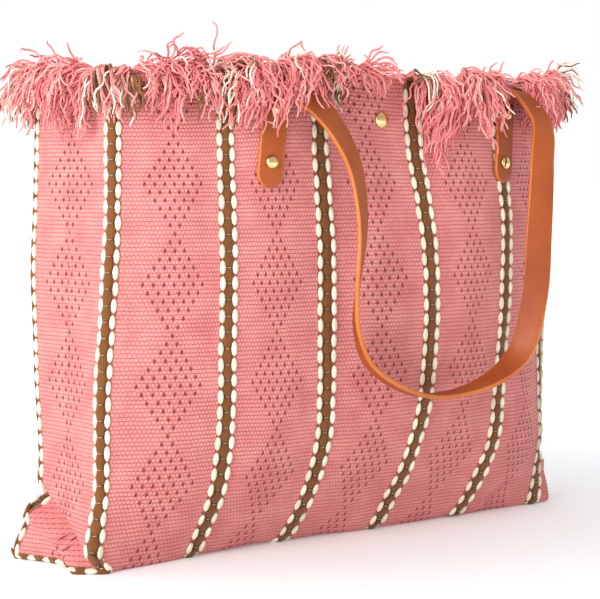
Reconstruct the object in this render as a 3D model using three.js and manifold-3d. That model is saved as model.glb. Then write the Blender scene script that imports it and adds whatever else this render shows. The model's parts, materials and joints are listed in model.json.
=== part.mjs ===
// Beach bag: a puffed, handwoven cotton tote with a yarn fringe round its mouth, a lining, two riveted
// leather strap handles and a magnetic snap. Millimetres, +Z up. The origin is on the ground under the
// middle of the bag, +X runs along its width and -Y is the front face. The back half is the front half
// turned half a turn about Z.
import * as THREE from 'three';
import { mergeVertices } from 'three/addons/utils/BufferGeometryUtils.js';
import Module from 'manifold-3d';

const wasm = await Module();
wasm.setup();

// ---- driving dimensions ----
const GAP = 0.3; // clearance between pieces that touch
const CORNER_GAP = 1; // clearance where a side panel ends behind the curved faces
const BAG = {
  height: 354, // ground to the woven top edge
  halfWidth: 225, // at the boxed base
  narrowing: 13, // how much less the half width is higher up
  narrowingHeight: 110,
  halfDepth: 43, // at the side edges, where the corner stripes run
  cloth: 3,
  lining: 1.5,
  liningGap: 0.6,
  liningTop: 350,
};
const PUFF = {
  tuck: 12, // how far the bottom front edge rolls under
  full: 60, // bulge at the fullest height
  fullHeight: 190,
  roll: 2.6, // exponent of the rounding towards the base
  top: 8, // bulge lost between 210 mm and the mouth
  topStart: 210,
  topSpan: 140,
  plan: 3.4, // exponent of the bulge across the width
  skew: 0.2, // the filling sits a little to one side
  dip: 12, // the mouth is drawn in at the snap
  dipWidth: 55,
  dipStart: 200,
  dipSpan: 110,
};
const MOUTH = { halfWidth: 58, bottom: 285, slit: 1 }; // the part of each face that closes inwards
const STRAP = { width: 20, thickness: 3.2, turnRadius: 8, splitDegrees: 4, leaveDegrees: 115 };
const TAB = {
  shift: 3, x: 111, bottom: 268, middle: 300, top: 332, rivetLow: 286, rivetPitch: 38.5, lean: 8, sampled: 8,
  tipRise: 0.7, tipPull: 0.95, // how high up the strap its round tip starts, and how square it is
};
const RIVET = { headRadius: 5, headHeight: 2.7, postRadius: 1.5, postPastLining: 2.6, holeRadius: 1.8,
  capRadius: 4.4, capGap: 2, capDepth: 1.8, recess: 1 };
const SNAP = { height: 317.4, capRadius: 6.4, capHeight: 3, capSeat: 1.2, bodySeat: 0.7, postRadius: 1.7,
  postPastSeat: 0.7, holeRadius: 2, bodyRadius: 8.5, cupFloor: 2, cupDepth: 4, magnetInner: 2.9,
  magnetOuter: 7.1, magnetThickness: 1.6, plate: 2.5, nose: 3.6, recess: 1 };
const FRINGE = { inner: 2.4, out: 24, up: 19, down: 26, pitch: 20, sideMargin: 6,
  corner: 205, leftOfStrap: 130, besideStrap: 99, rightOfStrap: 154 };
// How far the base panels end inside the sides, and how many steps they have along their length.
const PANEL_END = { wovenBase: 3.8, liningBase: 6.5, baseSteps: 16 };
const DRILL = { length: 40, sides: 10 };

// The hanging handle's middle line between its two turns, from the left leg down and up the right leg.
const LOOP_ROUTE = [
  [-84, -107, 329], [-66, -112, 309], [-53, -115, 285], [-49, -118, 260], [-49, -120, 236],
  [-55, -121, 191], [-54, -120, 167], [-43, -119, 143], [-15, -118, 124], [23, -118, 113],
  [75, -122, 120], [104, -128, 141], [114, -134, 184], [118, -134, 231], [126, -129, 285],
  [136, -118, 318],
];

// ---- materials ----
const finish = (color, roughness, metalness = 0) =>
  new THREE.MeshStandardMaterial({ color, roughness, metalness });
const COTTON = finish(0xe39a94, 0.95);
const LINING = finish(0xe9dcc6, 0.95);
const YARN = finish(0xdd8584, 1.0);
const LEATHER = finish(0xa9562a, 0.55);
const GOLD = finish(0xd8b878, 0.25, 1.0);
const STEEL = finish(0x9a9a9c, 0.35, 1.0);

// ---- the bag's surface ----
const smooth = (t) => {
  const s = Math.min(1, Math.max(0, t));
  return s * s * (3 - 2 * s);
};
const halfWidthAt = (z) => BAG.halfWidth - BAG.narrowing * (1 - Math.exp(-z / BAG.narrowingHeight));

function puffAt(z) {
  if (z < PUFF.fullHeight) {
    const rise = 1 - Math.pow(1 - z / PUFF.fullHeight, PUFF.roll);
    return (PUFF.full + PUFF.tuck) * rise - PUFF.tuck;
  }
  return PUFF.full - PUFF.top * smooth((z - PUFF.topStart) / PUFF.topSpan);
}

// Distance of the front cloth's outer surface from the bag's middle plane.
function depthAt(x, z) {
  const across = x / halfWidthAt(z);
  const plan = (1 - Math.pow(Math.min(1, Math.abs(across)), PUFF.plan)) * (1 + PUFF.skew * across);
  const dip = PUFF.dip * Math.exp(-((x / PUFF.dipWidth) ** 2)) * smooth((z - PUFF.dipStart) / PUFF.dipSpan);
  return BAG.halfDepth + (puffAt(z) - dip) * plan;
}
const frontPoint = (x, z, inset = 0) => new THREE.Vector3(x, inset - depthAt(x, z), z);

// ---- mesh helpers ----
// A closed geometry from loose triangles that all wind the same way, turned outwards.
function closedGeometry(triangles) {
  let volume = 0;
  for (const [a, b, c] of triangles) volume += a.dot(b.clone().cross(c));
  const positions = [];
  for (const [a, b, c] of triangles) {
    for (const p of volume > 0 ? [a, b, c] : [a, c, b]) positions.push(p.x, p.y, p.z);
  }
  const geometry = new THREE.BufferGeometry();
  geometry.setAttribute('position', new THREE.Float32BufferAttribute(positions, 3));
  geometry.computeVertexNormals();
  return geometry;
}

// A wall with a skin on each side of a grid of cells; keep(i, j) leaves cells out.
function wall(columns, rows, outer, inner, keep = () => true) {
  const triangles = [];
  const quad = (a, b, c, d) => triangles.push([a, b, c], [a, c, d]);
  const kept = (i, j) => i >= 0 && j >= 0 && i < columns && j < rows && keep(i, j);
  for (let i = 0; i < columns; i++) {
    for (let j = 0; j < rows; j++) {
      if (!kept(i, j)) continue;
      const corners = [[i, j], [i + 1, j], [i + 1, j + 1], [i, j + 1]];
      const [a, b, c, d] = corners.map(([u, v]) => outer(u, v));
      const [e, f, g, h] = corners.map(([u, v]) => inner(u, v));
      quad(a, b, c, d);
      quad(e, h, g, f);
      if (!kept(i, j - 1)) quad(b, a, e, f);
      if (!kept(i + 1, j)) quad(c, b, f, g);
      if (!kept(i, j + 1)) quad(d, c, g, h);
      if (!kept(i - 1, j)) quad(a, d, h, e);
    }
  }
  return closedGeometry(triangles);
}

// A section carried through frames {origin, a, b}: each section point (p, q) lands at origin + p a + q b.
function sweep(section, frames) {
  const rings = frames.map(({ origin, a, b }) =>
    section.map((s) => origin.clone().addScaledVector(a, s.x).addScaledVector(b, s.y)));
  const triangles = [];
  const count = section.length;
  for (let k = 0; k + 1 < rings.length; k++) {
    for (let i = 0; i < count; i++) {
      const j = (i + 1) % count;
      triangles.push([rings[k][i], rings[k][j], rings[k + 1][j]]);
      triangles.push([rings[k][i], rings[k + 1][j], rings[k + 1][i]]);
    }
  }
  const last = rings[rings.length - 1];
  const lidWinding = THREE.ShapeUtils.isClockWise(section) ? -1 : 1;
  for (const [i, j, k] of THREE.ShapeUtils.triangulateShape(section, [])) {
    const [m, n] = lidWinding > 0 ? [j, k] : [k, j];
    triangles.push([last[i], last[m], last[n]]);
    triangles.push([rings[0][i], rings[0][n], rings[0][m]]);
  }
  return closedGeometry(triangles);
}

function toSolid(geometry) {
  const bare = geometry.clone();
  bare.deleteAttribute('normal');
  bare.deleteAttribute('uv');
  const merged = mergeVertices(bare, 1e-4);
  return new wasm.Manifold(new wasm.Mesh({
    numProp: 3,
    vertProperties: new Float32Array(merged.attributes.position.array),
    triVerts: new Uint32Array(merged.index.array),
  }));
}

function fromSolid(solid) {
  const mesh = solid.getMesh();
  const geometry = new THREE.BufferGeometry();
  geometry.setAttribute('position', new THREE.BufferAttribute(mesh.vertProperties, 3));
  geometry.setIndex(new THREE.BufferAttribute(mesh.triVerts, 1));
  return geometry;
}

// ---- where things are fastened ----
// Frame of a strap end on the front face: up along the strap, out of the cloth, and across.
function tabFrame(side) {
  const x = TAB.shift + side * TAB.x;
  const up = frontPoint(x, TAB.top).sub(frontPoint(x, TAB.bottom)).normalize();
  const tangent = frontPoint(x + 1, TAB.middle).sub(frontPoint(x - 1, TAB.middle));
  const out = tangent.cross(up).normalize();
  up.applyAxisAngle(out, -THREE.MathUtils.degToRad(TAB.lean));
  const across = up.clone().cross(out);
  const origin = frontPoint(x, TAB.rivetLow);
  let proud = 0;
  const halfStrap = STRAP.width / 2;
  for (let z = TAB.bottom; z <= TAB.top; z += TAB.sampled) {
    for (let dx = -halfStrap; dx <= 2 * halfStrap; dx += TAB.sampled / 2) {
      proud = Math.max(proud, frontPoint(x + dx, z).sub(origin).dot(out));
    }
  }
  origin.addScaledVector(out, proud + GAP);
  return { origin, up, out, across };
}

const RIVET_RISES = [0, TAB.rivetPitch];
const rivetPlaces = (tab) => RIVET_RISES.map((rise) => tab.origin.clone().addScaledVector(tab.up, rise));
const TABS = [tabFrame(-1), tabFrame(1)];

function postHole(place, out, radius, length) {
  const hole = new THREE.CylinderGeometry(radius, radius, length, DRILL.sides);
  hole.applyQuaternion(new THREE.Quaternion().setFromUnitVectors(new THREE.Vector3(0, 1, 0), out));
  hole.translate(place.x, place.y, place.z);
  return toSolid(hole);
}

function drilled(geometry, places, radius) {
  let solid = toSolid(geometry);
  for (const { place, out } of places) solid = solid.subtract(postHole(place, out, radius, DRILL.length));
  return fromSolid(solid);
}

const RIVETS = TABS.flatMap((tab) => rivetPlaces(tab).map((place) => ({ place, out: tab.out })));
const FORWARD = new THREE.Vector3(0, -1, 0);
const SNAP_PLACE = { place: frontPoint(0, SNAP.height), out: FORWARD };

// ---- cloth and lining ----
const CLOTH_ROWS = [0, 6, 18, 36, 62, 96, 140, 190, 240, MOUTH.bottom, 320, BAG.height];
const OUTER_COLUMNS = [1, 0.97, 0.88, 0.72, 0.5, 0.25, 0];

// Front panel between two insets behind the outer surface; the mouth part is left out. The cloth and the
// lining share their rows and columns, so that their facets run parallel.
function facePanel(outset, inset, bottom, top) {
  const rows = CLOTH_ROWS.map((z) => Math.min(top, Math.max(bottom, z)));
  const inner = MOUTH.halfWidth;
  const shares = [...OUTER_COLUMNS, 0, ...OUTER_COLUMNS.slice().reverse()];
  const middle = OUTER_COLUMNS.length;
  const xAt = (i, z) => {
    const x = inner + shares[i] * (halfWidthAt(z) - inner);
    return Math.sign(i - middle) * Math.min(x, halfWidthAt(z) - outset);
  };
  const at = (depth) => (i, j) => frontPoint(xAt(i, rows[j]), rows[j], depth);
  const inMouth = (i, j) => (i === middle - 1 || i === middle) && CLOTH_ROWS[j] >= MOUTH.bottom;
  const panel = wall(shares.length - 1, rows.length - 1, at(outset), at(inset), (i, j) => !inMouth(i, j));
  return drilled(panel, RIVETS, RIVET.holeRadius);
}

function mouthPanel(outset, inset, top) {
  const halfWidth = MOUTH.halfWidth - MOUTH.slit;
  const rows = [MOUTH.bottom + MOUTH.slit, 308, 330, top];
  const at = (depth) => (i, j) => frontPoint(-halfWidth + (2 * halfWidth * i) / 6, rows[j], depth);
  return drilled(wall(6, 3, at(outset), at(inset)), [SNAP_PLACE], SNAP.holeRadius);
}

// Left side panel, between the two corner stripes.
function sidePanel(outset, inset, halfDepth, bottom, top) {
  const rows = CLOTH_ROWS.map((z) => Math.min(top, Math.max(bottom, z)));
  const at = (depth) => (i, j) =>
    new THREE.Vector3(depth - halfWidthAt(rows[j]), halfDepth * (1 - i), rows[j]);
  return wall(2, rows.length - 1, at(outset), at(inset));
}

function basePanel(bottom, top, halfLength, sideInset) {
  const yAt = (x, side) => {
    const towards = side > 0 ? -x : x; // the back edge is the front edge turned half a turn
    return side * (depthAt(towards, bottom) - sideInset);
  };
  const at = (z) => (i, j) => {
    const x = -halfLength + (2 * halfLength * i) / PANEL_END.baseSteps;
    return new THREE.Vector3(x, THREE.MathUtils.lerp(yAt(x, -1), yAt(x, 1), j / 2), z);
  };
  return wall(PANEL_END.baseSteps, 2, at(bottom), at(top));
}

// ---- fringe ----
// The space that the folded-over yarn fills: over the top edge and down outside it.
const FRINGE_SECTION = [
  [-FRINGE.inner, GAP + 0.2], [-FRINGE.inner, 12], [5, FRINGE.up], [17, 14],
  [FRINGE.out, -6], [20, -22], [9, -FRINGE.down], [1.2, -10], [1.2, GAP + 0.2],
].map(([p, q]) => new THREE.Vector2(p, q));

function frontFringe(from, to) {
  const steps = Math.max(2, Math.round((to - from) / FRINGE.pitch));
  const frames = [];
  for (let k = 0; k <= steps; k++) {
    const x = from + ((to - from) * k) / steps;
    const tangent = frontPoint(x + 1, BAG.height).sub(frontPoint(x - 1, BAG.height));
    const out = new THREE.Vector3(tangent.y, -tangent.x, 0).normalize();
    frames.push({ origin: frontPoint(x, BAG.height), a: out, b: new THREE.Vector3(0, 0, 1) });
  }
  return sweep(FRINGE_SECTION, frames);
}

function sideFringe() {
  const half = BAG.halfDepth - FRINGE.sideMargin;
  const frames = [half, 0, -half].map((y) => ({
    origin: new THREE.Vector3(-halfWidthAt(BAG.height), y, BAG.height),
    a: new THREE.Vector3(-1, 0, 0),
    b: new THREE.Vector3(0, 0, 1),
  }));
  return sweep(FRINGE_SECTION, frames);
}

// ---- handles ----
const STRAP_SECTION = [
  [-1, -0.5], [-0.94, -1], [0.94, -1], [1, -0.5], [1, 0.5], [0.94, 1], [-0.94, 1], [-1, 0.5],
].map(([p, q]) => new THREE.Vector2((p * STRAP.width) / 2, (q * STRAP.thickness) / 2));

// Middle line of the strap at a tab's top end.
function turnStart(tab) {
  const length = (TAB.top - TAB.rivetLow) / tab.up.z;
  return tab.origin.clone().addScaledVector(tab.up, length).addScaledVector(tab.out, STRAP.thickness / 2);
}

// A point of the turn that the strap makes over the tab, from 0 at the tab to 180 degrees hanging.
function turnPoint(tab, degrees) {
  const angle = THREE.MathUtils.degToRad(degrees);
  const r = STRAP.turnRadius;
  return turnStart(tab)
    .addScaledVector(tab.out, r * (1 - Math.cos(angle)))
    .addScaledVector(tab.up, r * Math.sin(angle));
}

// The end of a strap: the riveted tab with its round tip, and the first quarter of the turn.
function strapEnd(tab) {
  const half = STRAP.width / 2;
  const low = TAB.bottom - TAB.rivetLow;
  const high = (TAB.top - TAB.rivetLow) / tab.up.z;
  const outline = new THREE.Shape();
  outline.moveTo(half, high);
  outline.lineTo(-half, high);
  outline.lineTo(-half, low + half * TAB.tipRise);
  outline.quadraticCurveTo(-half * TAB.tipPull, low, 0, low);
  outline.quadraticCurveTo(half * TAB.tipPull, low, half, low + half * TAB.tipRise);
  for (const rise of RIVET_RISES) {
    outline.holes.push(new THREE.Path().absarc(0, rise, RIVET.holeRadius, 0, 2 * Math.PI, true));
  }
  const sheet = { depth: STRAP.thickness, bevelEnabled: false, curveSegments: 6 };
  const plate = new THREE.ExtrudeGeometry(outline, sheet);
  const basis = new THREE.Matrix4().makeBasis(tab.across, tab.up, tab.out).setPosition(tab.origin);
  plate.applyMatrix4(basis);
  const frames = [];
  const lastDegrees = 90 - STRAP.splitDegrees;
  for (let k = 0; k <= 4; k++) {
    const degrees = (lastDegrees * k) / 4;
    const angle = THREE.MathUtils.degToRad(degrees);
    const along = tab.up.clone().multiplyScalar(Math.cos(angle)).addScaledVector(tab.out, Math.sin(angle));
    const origin = turnPoint(tab, degrees);
    if (k === 0) origin.addScaledVector(tab.up, -0.6);
    frames.push({ origin, a: tab.across, b: along.clone().cross(tab.across) });
  }
  return fromSolid(toSolid(plate).add(toSolid(sweep(STRAP_SECTION, frames))));
}

// The moving loop, twisted a quarter turn down each leg so that it hangs edge to the bag.
function handleLoop() {
  const [left, right] = TABS;
  const startDegrees = 90 + STRAP.splitDegrees;
  const points = [
    turnPoint(left, startDegrees), turnPoint(left, STRAP.leaveDegrees),
    ...LOOP_ROUTE.map((p) => new THREE.Vector3(...p)),
    turnPoint(right, STRAP.leaveDegrees), turnPoint(right, startDegrees),
  ];
  const curve = new THREE.CatmullRomCurve3(points, false, 'centripetal');
  const steps = 44;
  const frames = [];
  for (let k = 0; k <= steps; k++) {
    const share = k / steps;
    const origin = curve.getPointAt(share);
    const along = curve.getTangentAt(share);
    const twist = Math.PI * THREE.MathUtils.clamp((share - 0.03) / 0.94, 0, 1);
    const across = new THREE.Vector3(Math.cos(twist), Math.sin(twist), 0);
    const end = share < 0.5 ? left.across : right.across.clone().negate();
    across.lerp(end, 1 - smooth(Math.min(share, 1 - share) / 0.08));
    across.addScaledVector(along, -across.dot(along)).normalize();
    frames.push({ origin, a: across, b: along.clone().cross(across) });
  }
  return sweep(STRAP_SECTION, frames);
}

// ---- rivets and snap ----
// A turned piece: profile of [radius, height] along its axis, set at a place and pointing out.
function turned(profile, segments, place, out) {
  const geometry = new THREE.LatheGeometry(profile.map(([r, h]) => new THREE.Vector2(r, h)), segments);
  geometry.applyQuaternion(new THREE.Quaternion().setFromUnitVectors(new THREE.Vector3(0, 1, 0), out));
  geometry.translate(place.x, place.y, place.z);
  return geometry;
}

const CLOTH_STACK = BAG.cloth + BAG.liningGap + BAG.lining;

function rivetCap({ place, out }) {
  const { headRadius: r, headHeight: h, postRadius: p } = RIVET;
  const seat = STRAP.thickness + GAP;
  const end = -CLOTH_STACK - RIVET.postPastLining;
  const profile = [[0, end], [p, end], [p, seat], [r, seat], [r, seat + 0.2 * h], [0.75 * r, seat + 0.8 * h],
    [0.4 * r, seat + h], [0, seat + h]];
  return turned(profile, 12, place, out);
}

function rivetInnerCap({ place, out }) {
  const r = RIVET.capRadius;
  const seat = -CLOTH_STACK - RIVET.capGap;
  const back = seat - RIVET.capDepth;
  const floor = seat - RIVET.recess;
  const bore = RIVET.postRadius + GAP;
  const profile = [[0, back], [0.7 * r, back], [r, seat - 0.6 * RIVET.capDepth], [r, seat], [bore, seat],
    [bore, floor], [0, floor]];
  return turned(profile, 12, place, out);
}

function snapCap() {
  const r = SNAP.capRadius;
  const h = SNAP.capHeight;
  const end = -CLOTH_STACK - SNAP.bodySeat - SNAP.postPastSeat;
  const seat = SNAP.capSeat;
  const profile = [[0, end], [SNAP.postRadius, end], [SNAP.postRadius, seat], [r, seat], [r, seat + 0.2 * h],
    [0.8 * r, seat + 0.67 * h], [0.45 * r, seat + 0.93 * h], [0, seat + h]];
  return turned(profile, 16, SNAP_PLACE.place, FORWARD);
}

// The socket half has a recess for the stud and a magnet ring round it; the stud half is a plate with
// a nose.
function snapSocket() {
  const r = SNAP.bodyRadius;
  const seat = -CLOTH_STACK - SNAP.bodySeat;
  const face = seat - SNAP.cupDepth;
  const floor = seat - SNAP.cupFloor;
  const pocket = SNAP.magnetOuter + GAP;
  const bore = SNAP.postRadius + GAP;
  const profile = [[0, floor], [pocket, floor], [pocket, face], [r, face], [r, seat], [bore, seat],
    [bore, seat - SNAP.recess], [0, seat - SNAP.recess]];
  return turned(profile, 16, SNAP_PLACE.place, FORWARD);
}

function snapMagnet() {
  const top = -CLOTH_STACK - SNAP.bodySeat - SNAP.cupFloor - GAP;
  const bottom = top - SNAP.magnetThickness;
  const { magnetInner: inner, magnetOuter: outer } = SNAP;
  const profile = [[inner, top], [inner, bottom], [outer, bottom], [outer, top], [inner, top]];
  return turned(profile, 16, SNAP_PLACE.place, FORWARD);
}

function snapStud() {
  const r = SNAP.bodyRadius;
  const seat = -CLOTH_STACK - SNAP.bodySeat;
  const bore = SNAP.postRadius + GAP;
  const plate = seat - SNAP.plate;
  const nose = seat - SNAP.nose;
  const profile = [[0, nose], [SNAP.postRadius, nose], [bore, plate], [r, plate], [r, seat], [bore, seat],
    [bore, seat - SNAP.recess], [0, seat - SNAP.recess]];
  return turned(profile, 16, SNAP_PLACE.place, FORWARD);
}

// ---- assembly ----
const OUT = 0;
const IN = BAG.cloth;
const LINING_OUT = BAG.cloth + BAG.liningGap;
const LINING_IN = LINING_OUT + BAG.lining;

// One half of the bag: a face, the side to its left and everything fastened to them.
function half(face, side, snapPieces) {
  const group = new THREE.Group();
  const add = (name, geometry, material) => {
    const mesh = new THREE.Mesh(geometry, material);
    mesh.name = name;
    group.add(mesh);
  };
  add(`woven_${face}`, facePanel(OUT, IN, 0, BAG.height), COTTON);
  add(`woven_${face}_mouth`, mouthPanel(OUT, IN, BAG.height), COTTON);
  add(`woven_${side}_side`, sidePanel(OUT, IN, BAG.halfDepth - IN - CORNER_GAP, 0, BAG.height), COTTON);
  add(`lining_${face}`, facePanel(LINING_OUT, LINING_IN, LINING_OUT, BAG.liningTop), LINING);
  add(`lining_${face}_mouth`, mouthPanel(LINING_OUT, LINING_IN, BAG.liningTop), LINING);
  const liningDepth = BAG.halfDepth - LINING_IN - CORNER_GAP;
  const liningSide = sidePanel(LINING_OUT, LINING_IN, liningDepth, LINING_OUT, BAG.liningTop);
  add(`lining_${side}_side`, liningSide, LINING);

  const mouthFringe = MOUTH.halfWidth - 1;
  add(`fringe_${face}_corner`, frontFringe(-FRINGE.corner, -FRINGE.leftOfStrap), YARN);
  add(`fringe_${face}_mouth`, frontFringe(-mouthFringe, mouthFringe), YARN);
  add(`fringe_${face}_beside_mouth`, frontFringe(MOUTH.halfWidth + 3, FRINGE.besideStrap), YARN);
  add(`fringe_${face}_far_corner`, frontFringe(FRINGE.rightOfStrap, FRINGE.corner), YARN);
  add(`fringe_${side}_side`, sideFringe(), YARN);

  TABS.forEach((tab, k) => add(`${face}_strap_end_${k + 1}`, strapEnd(tab), LEATHER));
  add(`${face}_handle_loop`, handleLoop(), LEATHER);
  RIVETS.forEach((rivet, k) => {
    add(`${face}_rivet_cap_${k + 1}`, rivetCap(rivet), GOLD);
    add(`${face}_rivet_inner_cap_${k + 1}`, rivetInnerCap(rivet), GOLD);
  });
  add(`${face}_snap_cap`, snapCap(), GOLD);
  for (const [name, geometry, material] of snapPieces) add(name, geometry, material);
  return group;
}

const socketPieces = [['snap_socket', snapSocket(), GOLD], ['snap_magnet', snapMagnet(), STEEL]];
const frontHalf = half('front', 'left', socketPieces);
const backHalf = half('back', 'right', [['snap_stud', snapStud(), GOLD]]);
backHalf.rotation.z = Math.PI;

const base = new THREE.Group();
const wovenLength = BAG.halfWidth - PANEL_END.wovenBase;
const wovenBase = new THREE.Mesh(basePanel(OUT, IN, wovenLength, IN + GAP), COTTON);
wovenBase.name = 'woven_base';
const liningLength = BAG.halfWidth - PANEL_END.liningBase;
const liningBase = new THREE.Mesh(basePanel(LINING_OUT, LINING_IN, liningLength, LINING_IN + GAP), LINING);
liningBase.name = 'lining_base';
base.add(wovenBase, liningBase);

const bag = new THREE.Group();
bag.add(frontHalf, backHalf, base);
export default bag;
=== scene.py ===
"""A handwoven cotton beach bag: puffed cloth body, yarn fringe, two leather handles and a magnetic snap.

Lengths are metres. The bag stands on the floor with +X along its width and -Y its front face, and its
back half is its front half turned half a turn about the upright axis.
"""
import json
import logging
import math
from dataclasses import dataclass, field
from enum import Enum
from typing import Callable, Iterable, Sequence

import bmesh
import bpy
import numpy as np
from mathutils import Euler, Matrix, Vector

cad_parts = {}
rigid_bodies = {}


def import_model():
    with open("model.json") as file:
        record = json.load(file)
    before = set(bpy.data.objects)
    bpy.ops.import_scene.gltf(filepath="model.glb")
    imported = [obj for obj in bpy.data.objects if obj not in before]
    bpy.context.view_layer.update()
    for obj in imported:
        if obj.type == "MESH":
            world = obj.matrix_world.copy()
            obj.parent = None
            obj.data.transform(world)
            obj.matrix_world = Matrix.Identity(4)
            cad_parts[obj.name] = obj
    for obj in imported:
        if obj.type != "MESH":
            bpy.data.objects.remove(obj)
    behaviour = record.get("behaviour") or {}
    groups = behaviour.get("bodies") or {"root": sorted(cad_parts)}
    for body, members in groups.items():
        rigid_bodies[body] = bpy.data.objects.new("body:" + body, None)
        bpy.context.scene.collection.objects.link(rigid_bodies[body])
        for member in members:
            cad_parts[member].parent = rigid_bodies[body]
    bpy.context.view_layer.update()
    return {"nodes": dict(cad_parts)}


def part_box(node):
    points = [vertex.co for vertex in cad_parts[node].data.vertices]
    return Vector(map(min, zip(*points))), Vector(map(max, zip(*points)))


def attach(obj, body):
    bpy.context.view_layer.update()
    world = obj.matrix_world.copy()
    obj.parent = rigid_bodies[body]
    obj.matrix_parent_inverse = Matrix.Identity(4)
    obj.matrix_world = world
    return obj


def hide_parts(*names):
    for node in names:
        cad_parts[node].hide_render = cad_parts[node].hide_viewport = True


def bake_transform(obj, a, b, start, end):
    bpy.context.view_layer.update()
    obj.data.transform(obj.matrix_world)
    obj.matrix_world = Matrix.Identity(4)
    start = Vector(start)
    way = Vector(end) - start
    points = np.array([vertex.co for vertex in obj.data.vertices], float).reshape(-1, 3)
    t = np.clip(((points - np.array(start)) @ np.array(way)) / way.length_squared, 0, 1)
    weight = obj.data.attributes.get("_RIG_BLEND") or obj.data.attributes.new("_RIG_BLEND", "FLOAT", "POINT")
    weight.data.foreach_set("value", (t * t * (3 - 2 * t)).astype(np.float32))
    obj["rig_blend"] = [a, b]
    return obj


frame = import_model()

MM = 0.001
ROOT = "root"
LOG = logging.getLogger("beach_bag")
Array = np.ndarray


# ---------------------------------------------------------------------------------------------
# Small helpers
# ---------------------------------------------------------------------------------------------
def smooth(t: Array) -> Array:
    """Returns the smooth step of t, 0 below 0 and 1 above 1."""
    s = np.clip(t, 0.0, 1.0)
    return s * s * (3 - 2 * s)


def hump(t: Array) -> Array:
    """Returns a bell curve, 1 at t = 0 and about a third at t = 1."""
    return np.exp(-np.square(t))


def unit(vectors: Array) -> Array:
    """Returns the vectors at length 1."""
    return vectors / np.maximum(np.linalg.norm(vectors, axis=-1, keepdims=True), 1e-12)


def half_turn(points: Array) -> Array:
    """Returns the points turned half a turn about the upright axis."""
    return points * np.array([-1.0, -1.0, 1.0])


def srgb(red: int, green: int, blue: int) -> tuple[float, float, float, float]:
    """Returns a screen colour of 0 to 255 as the linear colour that a shader takes."""
    def linear(level: int) -> float:
        """Returns one channel as linear light."""
        share = level / 255
        return share / 12.92 if share <= 0.04045 else ((share + 0.055) / 1.055) ** 2.4
    return linear(red), linear(green), linear(blue), 1.0


def new_piece(name: str, verts: Array, faces: Iterable[Sequence[int]], edges: Iterable = ()) -> bpy.types.Object:
    """Makes a mesh object at the origin.

    Args:
        name: The piece's name.
        verts: Its corners.
        faces: Corner numbers of each face.
        edges: Corner numbers of each loose edge.

    Returns:
        The new object, linked to the scene.
    """
    mesh = bpy.data.meshes.new(name)
    mesh.from_pydata(np.asarray(verts).tolist(), [tuple(e) for e in edges], [tuple(f) for f in faces])
    mesh.update()
    piece = bpy.data.objects.new(name, mesh)
    bpy.context.scene.collection.objects.link(piece)
    return piece


def corners(piece: bpy.types.Object) -> Array:
    """Returns the piece's corners as an array of points."""
    flat = np.zeros(len(piece.data.vertices) * 3, np.float32)
    piece.data.vertices.foreach_get("co", flat)
    return flat.reshape(-1, 3).astype(float)


def grid_faces(ids: Array, wanted: Callable[[int, int], bool] = lambda i, j: True) -> list[tuple[int, ...]]:
    """Returns the four-sided faces of a grid of corner numbers, each turned from the first way to the second."""
    columns, rows = ids.shape
    return [(int(ids[i, j]), int(ids[i + 1, j]), int(ids[i + 1, j + 1]), int(ids[i, j + 1]))
            for i in range(columns - 1) for j in range(rows - 1) if wanted(i, j)]


def paint_points(piece: bpy.types.Object, name: str, kind: str, values: Array) -> None:
    """Stores a value for each corner of the piece under a name."""
    attribute = piece.data.attributes.new(name, kind, "POINT")
    key = {"FLOAT": "value", "FLOAT_VECTOR": "vector", "FLOAT_COLOR": "color"}[kind]
    attribute.data.foreach_set(key, np.asarray(values, np.float32).ravel())


def finish_mesh(piece: bpy.types.Object, material: bpy.types.Material | None) -> bpy.types.Object:
    """Gives the piece smooth shading and, where one is given, its only material."""
    piece.data.polygons.foreach_set("use_smooth", [True] * len(piece.data.polygons))
    if material is not None:
        piece.data.materials.clear()
        piece.data.materials.append(material)
    piece.data.update()
    return piece


# ---------------------------------------------------------------------------------------------
# Material graphs
# ---------------------------------------------------------------------------------------------
class Term:
    """A number that flows through a node tree, with ordinary arithmetic."""

    def __init__(self, tree: bpy.types.NodeTree, socket: bpy.types.NodeSocket) -> None:
        """Holds the socket that gives the number."""
        self.tree = tree
        self.socket = socket

    def math(self, operation: str, *others: "Term | float") -> "Term":
        """Returns the result of a Math node on this term and the others."""
        node = self.tree.nodes.new("ShaderNodeMath")
        node.operation = operation
        for slot, operand in zip(node.inputs, (self, *others)):
            if isinstance(operand, Term):
                self.tree.links.new(operand.socket, slot)
            else:
                slot.default_value = operand
        return Term(self.tree, node.outputs[0])

    def __add__(self, other: "Term | float") -> "Term":
        """Adds."""
        return self.math("ADD", other)

    def __sub__(self, other: "Term | float") -> "Term":
        """Subtracts."""
        return self.math("SUBTRACT", other)

    def __mul__(self, other: "Term | float") -> "Term":
        """Multiplies."""
        return self.math("MULTIPLY", other)

    def __truediv__(self, other: "Term | float") -> "Term":
        """Divides."""
        return self.math("DIVIDE", other)

    def __pow__(self, other: "Term | float") -> "Term":
        """Raises to a power."""
        return self.math("POWER", other)

    def wrapped(self, span: float) -> "Term":
        """Returns the remainder on division by span, never below 0."""
        return self.math("FLOORED_MODULO", span)

    def inverse(self) -> "Term":
        """Returns 1 less this term."""
        return (self * -1.0) + 1.0

    def between(self, low: float, high: float) -> "Term":
        """Returns a smooth step that rises from 0 at low to 1 at high, or falls where low is above high."""
        node = self.tree.nodes.new("ShaderNodeMapRange")
        node.interpolation_type = "SMOOTHSTEP"
        self.tree.links.new(self.socket, node.inputs["Value"])
        rising = low < high
        node.inputs["From Min"].default_value = low if rising else high
        node.inputs["From Max"].default_value = high if rising else low
        node.inputs["To Min"].default_value = 0.0 if rising else 1.0
        node.inputs["To Max"].default_value = 1.0 if rising else 0.0
        return Term(self.tree, node.outputs["Result"])


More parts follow.
